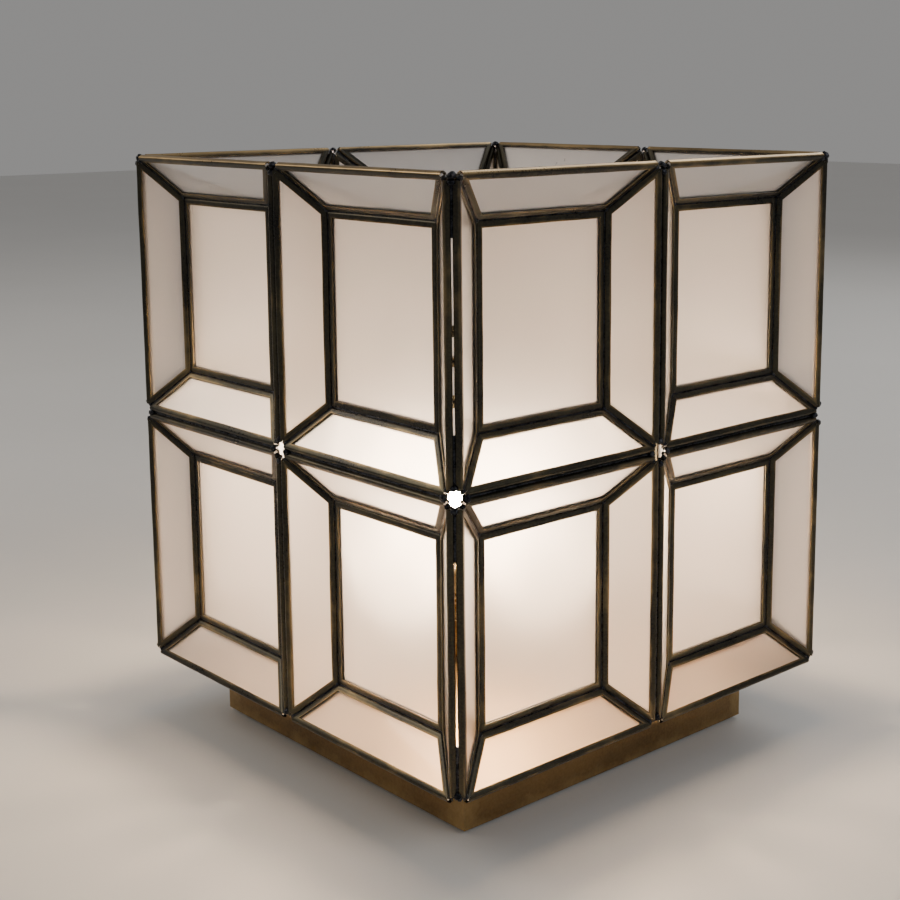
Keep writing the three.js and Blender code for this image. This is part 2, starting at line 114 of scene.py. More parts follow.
lattice_low, lattice_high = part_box("front_came_lattice")
shade_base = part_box("plinth_shell")[1].z
shade_height = lattice_high.z - lattice_low.z - 2 * (shade_base - lattice_low.z)
ridge_depth = half_channel * math.cos(side_tilt) - ridge_side["inset"] * math.sin(side_tilt)
half_face = (
    lattice_high.x
    + ridge_side["inset"] * math.cos(side_tilt)
    - half_channel * math.sin(side_tilt)
)
fold_plane = lattice_low.y + ridge_depth
cell_height = shade_height / 2
rim_top = lattice_high.z


# A cell stands at the origin: x across it, y into the lamp from the ridge lines, z up.
def cell_panes():
    outer_spots = ((0, 0), (half_face, 0), (half_face, cell_height), (0, cell_height))
    outer = [Vector((x, 0, z)) for x, z in outer_spots]
    left, right = SLOPE_RUN_SIDE, half_face - SLOPE_RUN_SIDE
    low, high = SLOPE_RUN_UP, cell_height - SLOPE_RUN_UP
    inner_spots = ((left, low), (right, low), (right, high), (left, high))
    inner = [Vector((x, RECESS_DEPTH, z)) for x, z in inner_spots]
    valleys = [valley_up, valley_side, valley_up, valley_side]
    ridges = [ridge_up, ridge_side, ridge_up, ridge_side]
    panes = [(inner, valleys)]
    for i in range(4):
        k = (i + 1) % 4
        panes.append(([outer[i], outer[k], inner[k], inner[i]], [ridges[i], diagonal, valleys[i], diagonal]))
    return outer, inner, panes


outer_corners, inner_corners, panes = cell_panes()


def outward_of(corners):
    return (corners[1] - corners[0]).cross(corners[3] - corners[0]).normalized()


# The channel's section: depth from its back towards the pane, height over the pane's middle, and wear.
def channel_section():
    r, top, groove = CHANNEL_ROUNDING, half_channel, half_channel - CHANNEL_WALL
    lip = CHANNEL_WALL * 0.4
    points = [(CHANNEL_LEG, top - lip, 1.0), (CHANNEL_LEG - lip, top, 1.0), (CHANNEL_LEG * 0.6, top, 0.35)]
    for step in range(4):
        turn = math.pi / 2 + step * math.pi / 6
        points.append((r + r * math.cos(turn), top - r + r * math.sin(turn), 0.25 + 0.25 * (step in (1, 2))))
    points.append((0.0, 0.0, 0.15))
    for depth, height, wear in reversed(points[:-1]):
        points.append((depth, -height, wear * 0.6))
    points += [(CHANNEL_LEG, -groove, 0), (CHANNEL_WALL, -groove, 0)]
    points += [(CHANNEL_WALL, groove, 0), (CHANNEL_LEG, groove, 0)]
    return points


noise.seed_set(11)  # otherwise noise_vector is placed by the clock, and differs at each run


def hand_worked(point, amount=HAND_WOBBLE):
    return point + amount * noise.noise_vector(point * 55) + 0.5 * amount * noise.noise_vector(point * 210)


# Faces between each ring of points and the next; a ring of one point closes a pole.
def join_rings(mesh, rings):
    for one, two in zip(rings, rings[1:]):
        sides = max(len(one), len(two))
        for i in range(sides):
            k = (i + 1) % sides
            quad = [one[i % len(one)], one[k % len(one)], two[k % len(two)], two[i % len(two)]]
            corners = list(dict.fromkeys(quad))
            if len(corners) > 2:
                mesh.faces.new(corners)


# One length of channel along a pane's side, from its mitre with the side before to that with the next.
def add_channel(mesh, wear_layer, corners, seams, side):
    outward = outward_of(corners)
    start, end = corners[side], corners[(side + 1) % 4]
    along = (end - start).normalized()
    inward = outward.cross(along)
    length = (end - start).length
    ends = []
    for corner, other in ((side, (side - 1) % 4), ((side + 1) % 4, (side + 1) % 4)):
        before, after = corners[(corner - 1) % 4], corners[(corner + 1) % 4]
        to_before, to_after = (before - corners[corner]).normalized(), (after - corners[corner]).normalized()
        cosine = to_before.dot(to_after)
        at_node = len(seams) == 4 and seams[1] is diagonal and corner in (0, 1)
        ends.append((seams[other]["inset"], cosine, math.sqrt(1 - cosine * cosine), at_node))
    inset = seams[side]["inset"]
    section = channel_section()
    steps = max(2, round(length / CAME_STEP))
    rings = []
    for step in range(steps + 1):
        ring = []
        for index, (depth, height, wear) in enumerate(section):
            reach = []
            for other_inset, cosine, sine, at_node in ends:
                cut = ((other_inset + depth) + (inset + depth) * cosine) / sine
                if at_node:
                    ragged = 0.0005 * noise.noise(corners[side] * 90 + Vector((index * 0.7, side, 0)))
                    cut = max(cut, CHANNEL_OPEN_END + ragged)
                reach.append(cut)
            place = reach[0] + (length - reach[0] - reach[1]) * step / steps
            point = start + along * place + inward * (inset + depth) + outward * height
            vertex = mesh.verts.new(hand_worked(point))
            vertex[wear_layer] = wear
            ring.append(vertex)
        rings.append(ring)
    join_rings(mesh, rings)
    mesh.faces.new(rings[0])
    mesh.faces.new(list(reversed(rings[-1])))


def mesh_from(bm, name, smooth_below=35):
    bmesh.ops.recalc_face_normals(bm, faces=bm.faces)
    mesh = bpy.data.meshes.new(name)
    bm.to_mesh(mesh)
    bm.free()
    mesh.shade_smooth()
    mesh.set_sharp_from_angle(angle=math.radians(smooth_below))
    return mesh


def place_mesh(mesh, name):
    piece = bpy.data.objects.new(name, mesh)
    bpy.context.scene.collection.objects.link(piece)
    return piece


cell_bm = bmesh.new()
wear_layer = cell_bm.verts.layers.float.new("wear")
for corners, seams in panes:
    for side in range(4):
        add_channel(cell_bm, wear_layer, corners, seams, side)
cell_came = place_mesh(mesh_from(cell_bm, "cell_came"), "cell_came")


# A tree of either kind with its named inputs and outputs. Each is given as a kind of socket, or an input as
# the plain value that it starts with.
def new_tree(name, kind, inputs, outputs):
    tree = bpy.data.node_groups.new(name, kind)
    for in_out, sockets in (("INPUT", inputs), ("OUTPUT", outputs)):
        for label, value in sockets.items():
            plain = {float: "Float", int: "Int", tuple: "Vector"}.get(type(value))
            kind_of_socket = "NodeSocket" + (plain or value)
            socket = tree.interface.new_socket(name=label, in_out=in_out, socket_type=kind_of_socket)
            if plain:
                socket.default_value = value
    return tree, tree.nodes.new("NodeGroupInput").outputs, tree.nodes.new("NodeGroupOutput").inputs


# A node with its settings; an input's value is a socket to join, or a plain value.
def put(tree, kind, inputs=(), **settings):
    node = tree.nodes.new(kind)
    for key, value in settings.items():
        setattr(node, key, value)
    for key, value in dict(inputs).items():
        if isinstance(value, bpy.types.NodeSocket):
            tree.links.new(value, node.inputs[key])
        else:
            node.inputs[key].default_value = value
    return node


def noise_of(tree, place, scale, detail, roughness=0.5):
    inputs = {"Vector": place, "Scale": scale, "Detail": detail, "Roughness": roughness}
    return put(tree, "ShaderNodeTexNoise", inputs).outputs


def reckon(tree, operation, one, two):
    return put(tree, "ShaderNodeMath", {0: one, 1: two}, operation=operation).outputs[0]


# Moves the points of a geometry a little, by a noise's colour
def shaken(tree, geometry, colour, amount):
    centred = put(tree, "ShaderNodeVectorMath", {0: colour, 1: (0.5, 0.5, 0.5)}, operation="SUBTRACT")
    offset = put(tree, "ShaderNodeVectorMath", {0: centred.outputs[0], "Scale": amount}, operation="SCALE")
    moved = put(tree, "GeometryNodeSetPosition", {"Geometry": geometry, "Offset": offset.outputs[0]})
    return moved.outputs[0]


def realized(tree, geometry):
    return put(tree, "GeometryNodeRealizeInstances", {"Geometry": geometry}).outputs[0]


def coloured(tree, geometry, finish, selection=True):
    inputs = {"Geometry": geometry, "Material": finish, "Selection": selection}
    return put(tree, "GeometryNodeSetMaterial", inputs).outputs[0]


# Geometry Nodes: sets copies of a cell on the points of a face, turned to face outwards.
def cell_repeat_tree():
    tree, given, out = new_tree("cells_on_face", "GeometryNodeTree", {
        "Points": "Geometry",
        "Cell": "Object",
        "Turn": 0.0,
        "Wobble": 0.0,
        "Outside finish": "Material",
        "Inside finish": "Material",
    }, {"Mesh": "Geometry"})
    cell = put(tree, "GeometryNodeObjectInfo", {"Object": given["Cell"]})
    angles = put(tree, "ShaderNodeCombineXYZ", {"Z": given["Turn"]})
    turn = put(tree, "FunctionNodeEulerToRotation", {"Euler": angles.outputs[0]})
    copies = put(
        tree,
        "GeometryNodeInstanceOnPoints",
        {"Points": given["Points"], "Instance": cell.outputs["Geometry"], "Rotation": turn.outputs[0]},
    )
    place = put(tree, "GeometryNodeInputPosition").outputs[0]
    waves = noise_of(tree, place, 21.0, 1.0)
    moved = shaken(tree, realized(tree, copies.outputs[0]), waves["Color"], given["Wobble"])
    outside = coloured(tree, moved, given["Outside finish"])
    frosted = put(tree, "GeometryNodeInputNamedAttribute", {"Name": "frosted"}, data_type="BOOLEAN")
    inside = coloured(tree, outside, given["Inside finish"], frosted.outputs["Attribute"])
    tree.links.new(inside, out["Mesh"])
    return tree


# Runs a tree on a mesh and gives back the plain mesh that it makes.
def run_tree(tree, mesh, name, values):
    piece = place_mesh(mesh, name)
    modifier = piece.modifiers.new("build", "NODES")
    modifier.node_group = tree
    for item in tree.interface.items_tree:
        if item.in_out == "INPUT" and item.name in values:
            modifier[item.identifier] = values[item.name]
    bpy.context.view_layer.update()
    found = piece.evaluated_get(bpy.context.evaluated_depsgraph_get())
    made = bpy.data.meshes.new_from_object(found)
    piece.modifiers.remove(modifier)
    made.name = name
    piece.data = made
    bpy.data.meshes.remove(mesh)
    return piece


def remove_source(piece):
    mesh = piece.data
    bpy.data.objects.remove(piece)
    bpy.data.meshes.remove(mesh)


# A new piece's body and the imported nodes that it stands for
def settle(piece, body, nodes):
    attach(piece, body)
    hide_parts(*nodes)


def face_turn(face):
    return FACES.index(face) * math.pi / 2


def cell_point_mesh(face):
    turn = Matrix.Rotation(face_turn(face), 4, "Z")
    points = [
        turn @ Vector(((column - 1) * half_face, fold_plane, shade_base + row * cell_height))
        for _, column, row in CELLS
    ]
    mesh = bpy.data.meshes.new("cell_points")
    mesh.from_pydata(points, [], [])
    return mesh


# Tarnish: clouded tone over the metal, with finer mottling, and a height for the skin that it leaves.
def tarnish_group():
    tree, given, out = new_tree(
        "tarnish",
        "ShaderNodeTree",
        {"Place": "Vector", "Cloud Scale": 40.0, "Mottle Scale": 400.0, "Cover": 0.5},
        {"Tone": "Float", "Height": "Float"},
    )
    clouds = noise_of(tree, given["Place"], given["Cloud Scale"], 5.0, 0.62)
    mottle = noise_of(tree, given["Place"], given["Mottle Scale"], 3.0)
    both = put(tree, "ShaderNodeMix", {"Factor": 0.32, "A": clouds["Fac"], "B": mottle["Fac"]}).outputs[0]
    lowered = reckon(tree, "SUBTRACT", reckon(tree, "ADD", both, given["Cover"]), 0.5)
    tone = put(tree, "ShaderNodeMapRange", {"Value": lowered, "From Min": 0.34, "From Max": 0.64})
    tree.links.new(tone.outputs[0], out["Tone"])
    tree.links.new(both, out["Height"])
    return tree


# Wear: where hands and cloths have rubbed the raised edges back to bright metal, in broken patches. On the
# came its edge input also carries a painted highlight along the upper rim.
def wear_group():
    tree, given, out = new_tree(
        "rubbed_edges",
        "ShaderNodeTree",
        {"Place": "Vector", "Edge": 0.0, "Patch Scale": 90.0, "Amount": 0.5},
        {"Mask": "Float"},
    )
    patches = noise_of(tree, given["Place"], given["Patch Scale"], 4.0, 0.7)
    pushed = reckon(tree, "MULTIPLY", given["Edge"], given["Amount"])
    total = reckon(tree, "ADD", patches["Fac"], pushed)
    mask = put(tree, "ShaderNodeMapRange", {"Value": total, "From Min": 0.66, "From Max": 1.2})
    tree.links.new(mask.outputs[0], out["Mask"])
    return tree


tarnish = tarnish_group()
rubbed_edges = wear_group()


def new_finish(name):
    finish = bpy.data.materials.new(name)
    finish.use_nodes = True
    finish.node_tree.nodes.clear()
    tree = finish.node_tree
    surface = put(tree, "ShaderNodeOutputMaterial").inputs["Surface"]
    place = put(tree, "ShaderNodeTexCoord").outputs["Object"]
    return finish, tree, surface, place


def grouped(tree, group, inputs):
    node = tree.nodes.new("ShaderNodeGroup")
    node.node_tree = group
    for key, value in inputs.items():
        if isinstance(value, bpy.types.NodeSocket):
            tree.links.new(value, node.inputs[key])
        else:
            node.inputs[key].default_value = value
    return node.outputs


def colour_mix(tree, factor, one, two):
    node = tree.nodes.new("ShaderNodeMix")
    node.data_type = "RGBA"
    for index, value in ((0, factor), (6, one), (7, two)):
        if isinstance(value, bpy.types.NodeSocket):
            tree.links.new(value, node.inputs[index])
        else:
            node.inputs[index].default_value = value
    return node.outputs[2]


def spread(tree, value, low, high):
    return put(tree, "ShaderNodeMapRange", {"Value": value, "To Min": low, "To Max": high}).outputs[0]


def bumped(tree, height, strength, distance):
    inputs = {"Height": height, "Strength": strength, "Distance": distance}
    return put(tree, "ShaderNodeBump", inputs).outputs[0]


def shaded(tree, surface, inputs):
    tree.links.new(put(tree, "ShaderNodeBsdfPrincipled", inputs).outputs[0], surface)


def came_finish():
    finish, tree, surface, place = new_finish("aged_came")
    edge = put(tree, "ShaderNodeAttribute", attribute_name="wear").outputs["Fac"]
    height = put(tree, "ShaderNodeSeparateXYZ", {0: place}).outputs["Z"]
    # Painted highlight: the top of the upper rim is pushed towards bright brass, standing in for a reflection
    # of light there. It is added to the real edge wear before the bright patches are found.
    rim_highlight = put(
        tree,
        "ShaderNodeMapRange",
        {"Value": height, "From Min": rim_top - 0.0026, "From Max": rim_top - 0.0012, "To Max": 1.7},
    )
    wear_and_rim_highlight = reckon(tree, "ADD", edge, rim_highlight.outputs[0])
    skin = grouped(tree, tarnish, {"Place": place, "Cloud Scale": 17.0, "Mottle Scale": 900.0, "Cover": 0.5})
    bright_mask = grouped(tree, rubbed_edges, {"Place": place, "Edge": wear_and_rim_highlight, "Patch Scale": 16.0, "Amount": 0.32})
    dark = colour_mix(tree, skin["Tone"], (0.021, 0.021, 0.022, 1), (0.074, 0.066, 0.043, 1))
    colour = colour_mix(tree, bright_mask["Mask"], dark, (0.47, 0.33, 0.16, 1))
    shaded(tree, surface, {
        "Base Color": colour,
        "Metallic": 1.0,
        "Roughness": spread(tree, skin["Tone"], 0.25, 0.37),
        "Normal": bumped(tree, skin["Height"], 0.12, 0.0004),
    })
    return finish


aged_came = came_finish()
cells_on_face = cell_repeat_tree()
for face in FACES:
    came = run_tree(cells_on_face, cell_point_mesh(face), f"{face}_came", {
        "Cell": cell_came,
        "Turn": face_turn(face),
        "Wobble": 0.0004,
        "Outside finish": aged_came,
        "Inside finish": aged_came,
    })
    settle(came, "lamp", [f"{face}_came_lattice"])
remove_source(cell_came)


# ---- Solder ----
# Tin-lead solder, blackened with the same patina. It fills the valley between two neighbouring channels,
# and stands in lumps round the open ends at each outer corner. The cube's upright edges are only soldered
# near the ends, so a slit of light shows between.
CORNER_SOLDERED = 0.2  # share of a cell's height that is soldered at each end of the cube's edges
LUMP_SIDES = 8
LUMP_RINGS = 5
FOLD_SWELL = 0.00045  # how much wider than the gap a run of solder is
RIDGE_SWELL = 0.0005
EDGE_SWELL = 0.0006
FOLD_LUMP = 0.0017
RIDGE_LUMP = 0.0022
RIDGE_END_LUMP = 0.0024
EDGE_LUMP = 0.0022
RIM_LUMP = 0.0023
RIM_CORNER_LUMP = 0.0027


# How far a seam's narrowest place lies from its fold line, and half its width there
def seam_throat(seam):
    reach = seam["inset"] + CHANNEL_ROUNDING
    rise = half_channel - CHANNEL_ROUNDING
    angle = seam["half_angle"]
    offset = reach * math.sin(angle) + rise * math.cos(angle)
    return offset, reach * math.cos(angle) - rise * math.sin(angle) - CHANNEL_ROUNDING


seam_lines = []  # start, end and radius of each run of solder
lumps = []  # centre and size of each lump
normals = [outward_of(corners) for corners, _ in panes]
for face in FACES:
    turn = Matrix.Rotation(face_turn(face), 4, "Z")
    for _, column, row in CELLS:
        origin = Vector(((column - 1) * half_face, fold_plane, shade_base + row * cell_height))
        for i in range(4):
            k = (i + 1) % 4
            outer, inner, next_inner = outer_corners[i], inner_corners[i], inner_corners[k]
            into = (inner - outer).normalized()
            out = (normals[1 + i] + normals[1 + (i - 1) % 4]).normalized()
            lift, width = seam_throat(diagonal)
            start = outer + into * CHANNEL_OPEN_END + out * lift
            end = inner + out * lift
            seam_lines.append((turn @ (origin + start), turn @ (origin + end), width + FOLD_SWELL))
            start_lump = outer + into * (CHANNEL_OPEN_END + 0.0012) + out * lift * 0.8
            lumps.append((turn @ (origin + start_lump), FOLD_LUMP))
            lumps.append((turn @ (origin + inner + Vector((0, -lift, 0))), FOLD_LUMP))
            out = (normals[0] + normals[1 + i]).normalized()
            lift, width = seam_throat((valley_up, valley_side)[i % 2])
            line = [turn @ (origin + point + out * lift) for point in (inner, next_inner)]
            seam_lines.append((line[0], line[1], width + FOLD_SWELL))
    ridge_open = CHANNEL_OPEN_END + 0.0004
    for seam, fixed, spans in (
        (ridge_side, "column", ((0, 1), (1, 2))),
        (ridge_up, "row", ((-1, 0), (0, 1))),
    ):
        depth, width = seam_throat(seam)
        for low, high in spans:
            if fixed == "column":
                ends = [Vector((0, 0, low * cell_height)), Vector((0, 0, high * cell_height))]
            else:
                ends = [Vector((low * half_face, 0, cell_height)), Vector((high * half_face, 0, cell_height))]
            way = (ends[1] - ends[0]).normalized()
            base = Vector((0, fold_plane + depth, shade_base))
            start, end = base + ends[0] + way * ridge_open, base + ends[1] - way * ridge_open
            seam_lines.append((turn @ start, turn @ end, width + RIDGE_SWELL))
            forward = Vector((0, -0.0012, 0))
            for point, sign in ((start, 1), (end, -1)):
                size = RIDGE_END_LUMP if abs(point.x) > half_face / 2 else RIDGE_LUMP
                lumps.append((turn @ (point + way * sign * 0.0008 + forward), size))
    # the cube's edge on this face's right
    reach = ridge_side["inset"] + CHANNEL_ROUNDING
    rise = half_channel - CHANNEL_ROUNDING
    across = half_face - reach * math.cos(side_tilt) + rise * math.sin(side_tilt)
    inwards = ridge_depth + reach * math.sin(side_tilt) + rise * math.cos(side_tilt)
    edge = (across - lattice_low.y - inwards) / 2
    half_gap = (-lattice_low.y - inwards - across) / math.sqrt(2) - CHANNEL_ROUNDING
    soldered = CORNER_SOLDERED * cell_height
    for row in (0, 1):
        base = shade_base + row * cell_height
        top_end = cell_height - CHANNEL_OPEN_END
        for low, high in ((CHANNEL_OPEN_END, soldered), (cell_height - soldered, top_end)):
            line = [Vector((edge, -edge, base + z)) for z in (low, high)]
            seam_lines.append((turn @ line[0], turn @ line[1], half_gap + EDGE_SWELL))
        for z in (CHANNEL_OPEN_END + 0.0008, top_end - 0.0008):
            lumps.append((turn @ Vector((edge + 0.0005, -edge - 0.0005, base + z)), EDGE_LUMP))
    # the rims, where a lump closes each node
    for x, size in ((0, RIM_LUMP), (edge, RIM_CORNER_LUMP)):
        y = -edge if x else fold_plane + 0.0012
        lumps.append((turn @ Vector((x, y, shade_base + shade_height - 0.0025)), size))
        lumps.append((turn @ Vector((x, y + 0.0012, shade_base + 0.0034)), size * 0.6))


# Geometry Nodes: runs of solder along the seams, thick and thin by turns
def solder_run_tree():
    tree, given, out = new_tree(
        "solder_runs",
        "GeometryNodeTree",
        {"Seams": "Geometry", "Step": 0.005, "Unevenness": 0.0004, "Sides": 6, "Finish": "Material"},
        {"Mesh": "Geometry"},
    )
    radius = put(tree, "GeometryNodeInputNamedAttribute", {"Name": "radius_of_run"}, data_type="FLOAT")
    curves = put(tree, "GeometryNodeMeshToCurve", {"Mesh": given["Seams"]})
    spacing = {"Curve": curves.outputs[0], "Length": given["Step"]}
    cut = put(tree, "GeometryNodeResampleCurve", spacing, mode="LENGTH")
    swell = noise_of(tree, put(tree, "GeometryNodeInputPosition").outputs[0], 130.0, 2.0)
    sized = reckon(tree, "MULTIPLY", radius.outputs["Attribute"], spread(tree, swell["Fac"], 0.75, 1.3))
    section = put(tree, "GeometryNodeCurvePrimitiveCircle", {"Resolution": given["Sides"], "Radius": 1.0})
    tube = put(tree, "GeometryNodeCurveToMesh", {
        "Curve": cut.outputs[0],
        "Profile Curve": section.outputs["Curve"],
        "Fill Caps": True,
        "Scale": sized,
    })
    uneven = shaken(tree, tube.outputs[0], swell["Color"], given["Unevenness"])
    tree.links.new(coloured(tree, realized(tree, uneven), given["Finish"]), out["Mesh"])
    return tree


# Geometry Nodes: one lump on each point, turned and swollen differently each time
def solder_lump_tree():
    tree, given, out = new_tree(
        "solder_lumps",
        "GeometryNodeTree",
        {"Points": "Geometry", "Lump": "Object", "Raggedness": 0.0014, "Seed": 7, "Finish": "Material"},
        {"Mesh": "Geometry"},
    )
    size = put(tree, "GeometryNodeInputNamedAttribute", {"Name": "lump_size"}, data_type="FLOAT")
    lump = put(tree, "GeometryNodeObjectInfo", {"Object": given["Lump"]})
    turn = put(tree, "FunctionNodeRandomValue", {"Seed": given["Seed"]}, data_type="FLOAT_VECTOR")
    turn.inputs["Max"].default_value = (6.28, 6.28, 6.28)
    turned = put(tree, "FunctionNodeEulerToRotation", {"Euler": turn.outputs[0]})
    copies = put(tree, "GeometryNodeInstanceOnPoints", {
        "Points": given["Points"],
        "Instance": lump.outputs["Geometry"],
        "Rotation": turned.outputs[0],
        "Scale": size.outputs["Attribute"],
    })
    waves = noise_of(tree, put(tree, "GeometryNodeInputPosition").outputs[0], 330.0, 2.0)
    ragged = shaken(tree, realized(tree, copies.outputs[0]), waves["Color"], given["Raggedness"])
    tree.links.new(coloured(tree, ragged, given["Finish"]), out["Mesh"])
    return tree


def solder_finish():
    finish, tree, surface, place = new_finish("blackened_solder")
    clouding = {"Place": place, "Cloud Scale": 160.0, "Mottle Scale": 900.0, "Cover": 0.42}
    skin = grouped(tree, tarnish, clouding)
    colour = colour_mix(tree, skin["Tone"], (0.010, 0.011, 0.014, 1), (0.075, 0.078, 0.09, 1))
    shaded(tree, surface, {
        "Base Color": colour,
        "Metallic": 1.0,
        "Roughness": spread(tree, skin["Tone"], 0.24, 0.42),
        "Normal": bumped(tree, skin["Height"], 0.6, 0.0006),
    })
    return finish


blackened_solder = solder_finish()
seam_mesh = bpy.data.meshes.new("seam_lines")
seam_mesh.from_pydata(
    [point for start, end, _ in seam_lines for point in (start, end)],
    [(2 * i, 2 * i + 1) for i in range(len(seam_lines))],
    [],
)
radii = seam_mesh.attributes.new("radius_of_run", "FLOAT", "POINT")
radii.data.foreach_set("value", [radius for _, _, radius in seam_lines for _ in (0, 1)])
runs = run_tree(solder_run_tree(), seam_mesh, "solder_runs", {"Finish": blackened_solder})
runs.data.shade_smooth()

lump_bm = bmesh.new()
bmesh.ops.create_uvsphere(lump_bm, u_segments=LUMP_SIDES, v_segments=LUMP_RINGS, radius=1)
for vertex in lump_bm.verts:
    vertex.co.z *= 0.72
lump = place_mesh(mesh_from(lump_bm, "lump", 180), "lump")
lump_points = bpy.data.meshes.new("lump_points")
lump_points.from_pydata([centre for centre, _ in lumps], [], [])
sizes = lump_points.attributes.new("lump_size", "FLOAT", "POINT")
sizes.data.foreach_set("value", [size for _, size in lumps])
blobs = run_tree(solder_lump_tree(), lump_points, "solder_lumps", {"Lump": lump, "Finish": blackened_solder})
blobs.data.shade_smooth()
remove_source(lump)
for piece in (runs, blobs):
    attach(piece, "lamp")


# ---- Glass panes ----
# Plate glass, glossy outside and acid-frosted inside. Each cell has a flat centre pane and four sloping
# ones, held in the channels by their edges, with the tips that would reach an outer corner nipped off.
TIP_NIP = 0.0024
MILKINESS = 0.14  # share of the light that the frosting spreads evenly


def pane_outline(corners, seams):
    outward = outward_of(corners)
    margin = CHANNEL_WALL + CHANNEL_CLEARANCE
    outline = []
    for i in range(4):
        here = corners[i]
        back, ahead = (corners[i - 1] - here).normalized(), (corners[(i + 1) % 4] - here).normalized()
        cosine = back.dot(ahead)
        sine = math.sqrt(1 - cosine * cosine)
        before, after = seams[i - 1]["inset"] + margin, seams[i]["inset"] + margin
        point = here + ahead * (before / sine) + back * (after / sine)
        if seams[1] is diagonal and i in (0, 1):
            outline += [point + back * TIP_NIP, point + ahead * TIP_NIP]
        else:
            outline.append(point)
    return outward, outline


def add_pane(bm, frosted_layer, corners, seams):
    outward, outline = pane_outline(corners, seams)
    rings = []
    bevel = 0.00015
    centre = sum(outline, Vector()) / len(outline)
    half = GLASS_THICKNESS / 2
    for height, shrink in ((half, bevel), (half - bevel, 0), (bevel - half, 0), (-half, bevel)):
        ring = []
        for point in outline:
            pulled = point + (centre - point).normalized() * shrink * 1.4
            ring.append(bm.verts.new(pulled + outward * height))
        rings.append(ring)
    count = len(outline)
    for level, (one, two) in enumerate(zip(rings, rings[1:])):
        for i in range(count):
            k = (i + 1) % count
            bm.faces.new((one[i], two[i], two[k], one[k]))[frosted_layer] = level > 0
    bm.faces.new(rings[0])[frosted_layer] = False
    bm.faces.new(list(reversed(rings[-1])))[frosted_layer] = True


def pane_cell(name, chosen):
    bm = bmesh.new()
    layer = bm.faces.layers.bool.new("frosted")
    for corners, seams in chosen:
        add_pane(bm, layer, corners, seams)
    mesh = mesh_from(bm, name)
    mesh.shade_flat()
    return place_mesh(mesh, name)


def times(tree, vector, factors):
    return put(tree, "ShaderNodeVectorMath", {0: vector, 1: factors}, operation="MULTIPLY").outputs[0]


# Ripple: the faint unevenness of rolled glass, with finer frosting over it
def glass_ripple_group():
    tree, given, out = new_tree("glass_ripple", "ShaderNodeTree", {
        "Place": "Vector",
        "Stretch": (1.0, 1.0, 1.0),
        "Ripple Scale": 18.0,
        "Grain Scale": 900.0,
        "Grain": 0.3,
    }, {"Height": "Float", "Cloud": "Float"})
    drawn = times(tree, given["Place"], given["Stretch"])
    ripple = noise_of(tree, drawn, given["Ripple Scale"], 3.0)["Fac"]
    grain = noise_of(tree, given["Place"], given["Grain Scale"], 2.0)["Fac"]
    height = put(tree, "ShaderNodeMix", {"Factor": given["Grain"], "A": ripple, "B": grain})
    tree.links.new(height.outputs[0], out["Height"])
    tree.links.new(ripple, out["Cloud"])
    return tree


glass_ripple = glass_ripple_group()


def clear_to_lamps(tree, surface, seen, tint):
    path = put(tree, "ShaderNodeLightPath")
    clear = put(tree, "ShaderNodeBsdfTransparent", {"Color": tint})
    mix = put(tree, "ShaderNodeMixShader", {0: path.outputs["Is Shadow Ray"], 1: seen, 2: clear.outputs[0]})
    tree.links.new(mix.outputs[0], surface)


def outer_glass_finish():
    finish, tree, surface, place = new_finish("glass_outside")
    waves = {"Place": place, "Ripple Scale": 16.0, "Grain Scale": 420.0, "Grain": 0.06}
    ripple = grouped(tree, glass_ripple, waves)
    tint = colour_mix(tree, ripple["Cloud"], (0.97, 0.945, 0.93, 1), (1.0, 0.985, 0.965, 1))
    glass = put(tree, "ShaderNodeBsdfPrincipled", {
        "Base Color": tint,
        "Metallic": 0.0,
        "Transmission Weight": 1.0,
        "IOR": 1.5,
        "Roughness": spread(tree, ripple["Cloud"], 0.26, 0.34),
        "Coat Weight": 1.0,
        "Normal": bumped(tree, ripple["Height"], 0.2, 0.0015),
    })
    clear_to_lamps(tree, surface, glass.outputs[0], (0.95, 0.93, 0.9, 1))
    return finish


def inner_glass_finish():
    finish, tree, surface, place = new_finish("glass_frosting")
    waves = {"Place": place, "Ripple Scale": 110.0, "Grain Scale": 1100.0, "Grain": 0.45}
    ripple = grouped(tree, glass_ripple, {**waves, "Stretch": (1.0, 1.0, 0.16)})
    tint = colour_mix(tree, ripple["Cloud"], (0.90, 0.80, 0.74, 1), (0.97, 0.89, 0.83, 1))
    bump = bumped(tree, ripple["Height"], 0.35, 0.0005)
    glass = put(tree, "ShaderNodeBsdfPrincipled", {
        "Base Color": tint,
        "Metallic": 0.0,
        "Transmission Weight": 1.0,
        "IOR": 1.5,
        "Roughness": spread(tree, ripple["Cloud"], 0.25, 0.34),
        "Normal": bump,
    })
    milky = put(tree, "ShaderNodeBsdfTranslucent", {"Color": tint, "Normal": bump})
    mix = put(tree, "ShaderNodeMixShader", {0: MILKINESS, 1: glass.outputs[0], 2: milky.outputs[0]})
    clear_to_lamps(tree, surface, mix.outputs[0], (0.82, 0.78, 0.73, 1))
    return finish


outer_glass, inner_glass = outer_glass_finish(), inner_glass_finish()
centre_cell = pane_cell("centre_cell", panes[:1])
slope_cell = pane_cell("slope_cell", panes[1:])
PANE_KINDS = ((centre_cell, "centre_panes", "pane"), (slope_cell, "sloping_panes", "bevel_panes"))
for face in FACES:
    for cell, name, ending in PANE_KINDS:
        glass = run_tree(cells_on_face, cell_point_mesh(face), f"{face}_{name}", {
            "Cell": cell,
            "Turn": face_turn(face),
            "Wobble": 0.0,
            "Outside finish": outer_glass,
            "Inside finish": inner_glass,
        })
        nodes = [f"{face}_{place}_{ending}" for place, _, _ in CELLS]
        settle(glass, "lamp", nodes)
remove_source(centre_cell)
remove_source(slope_cell)


# ---- Floor plate and plinth ----
# Sheet brass: a plate inside the lower rim, and under it a folded box that lifts the shade off the table.
# Both are antiqued and lacquered; the box's edges are a little rounded by the folding.
PLINTH_WALL = 0.0012
PLINTH_EDGE = 0.0009


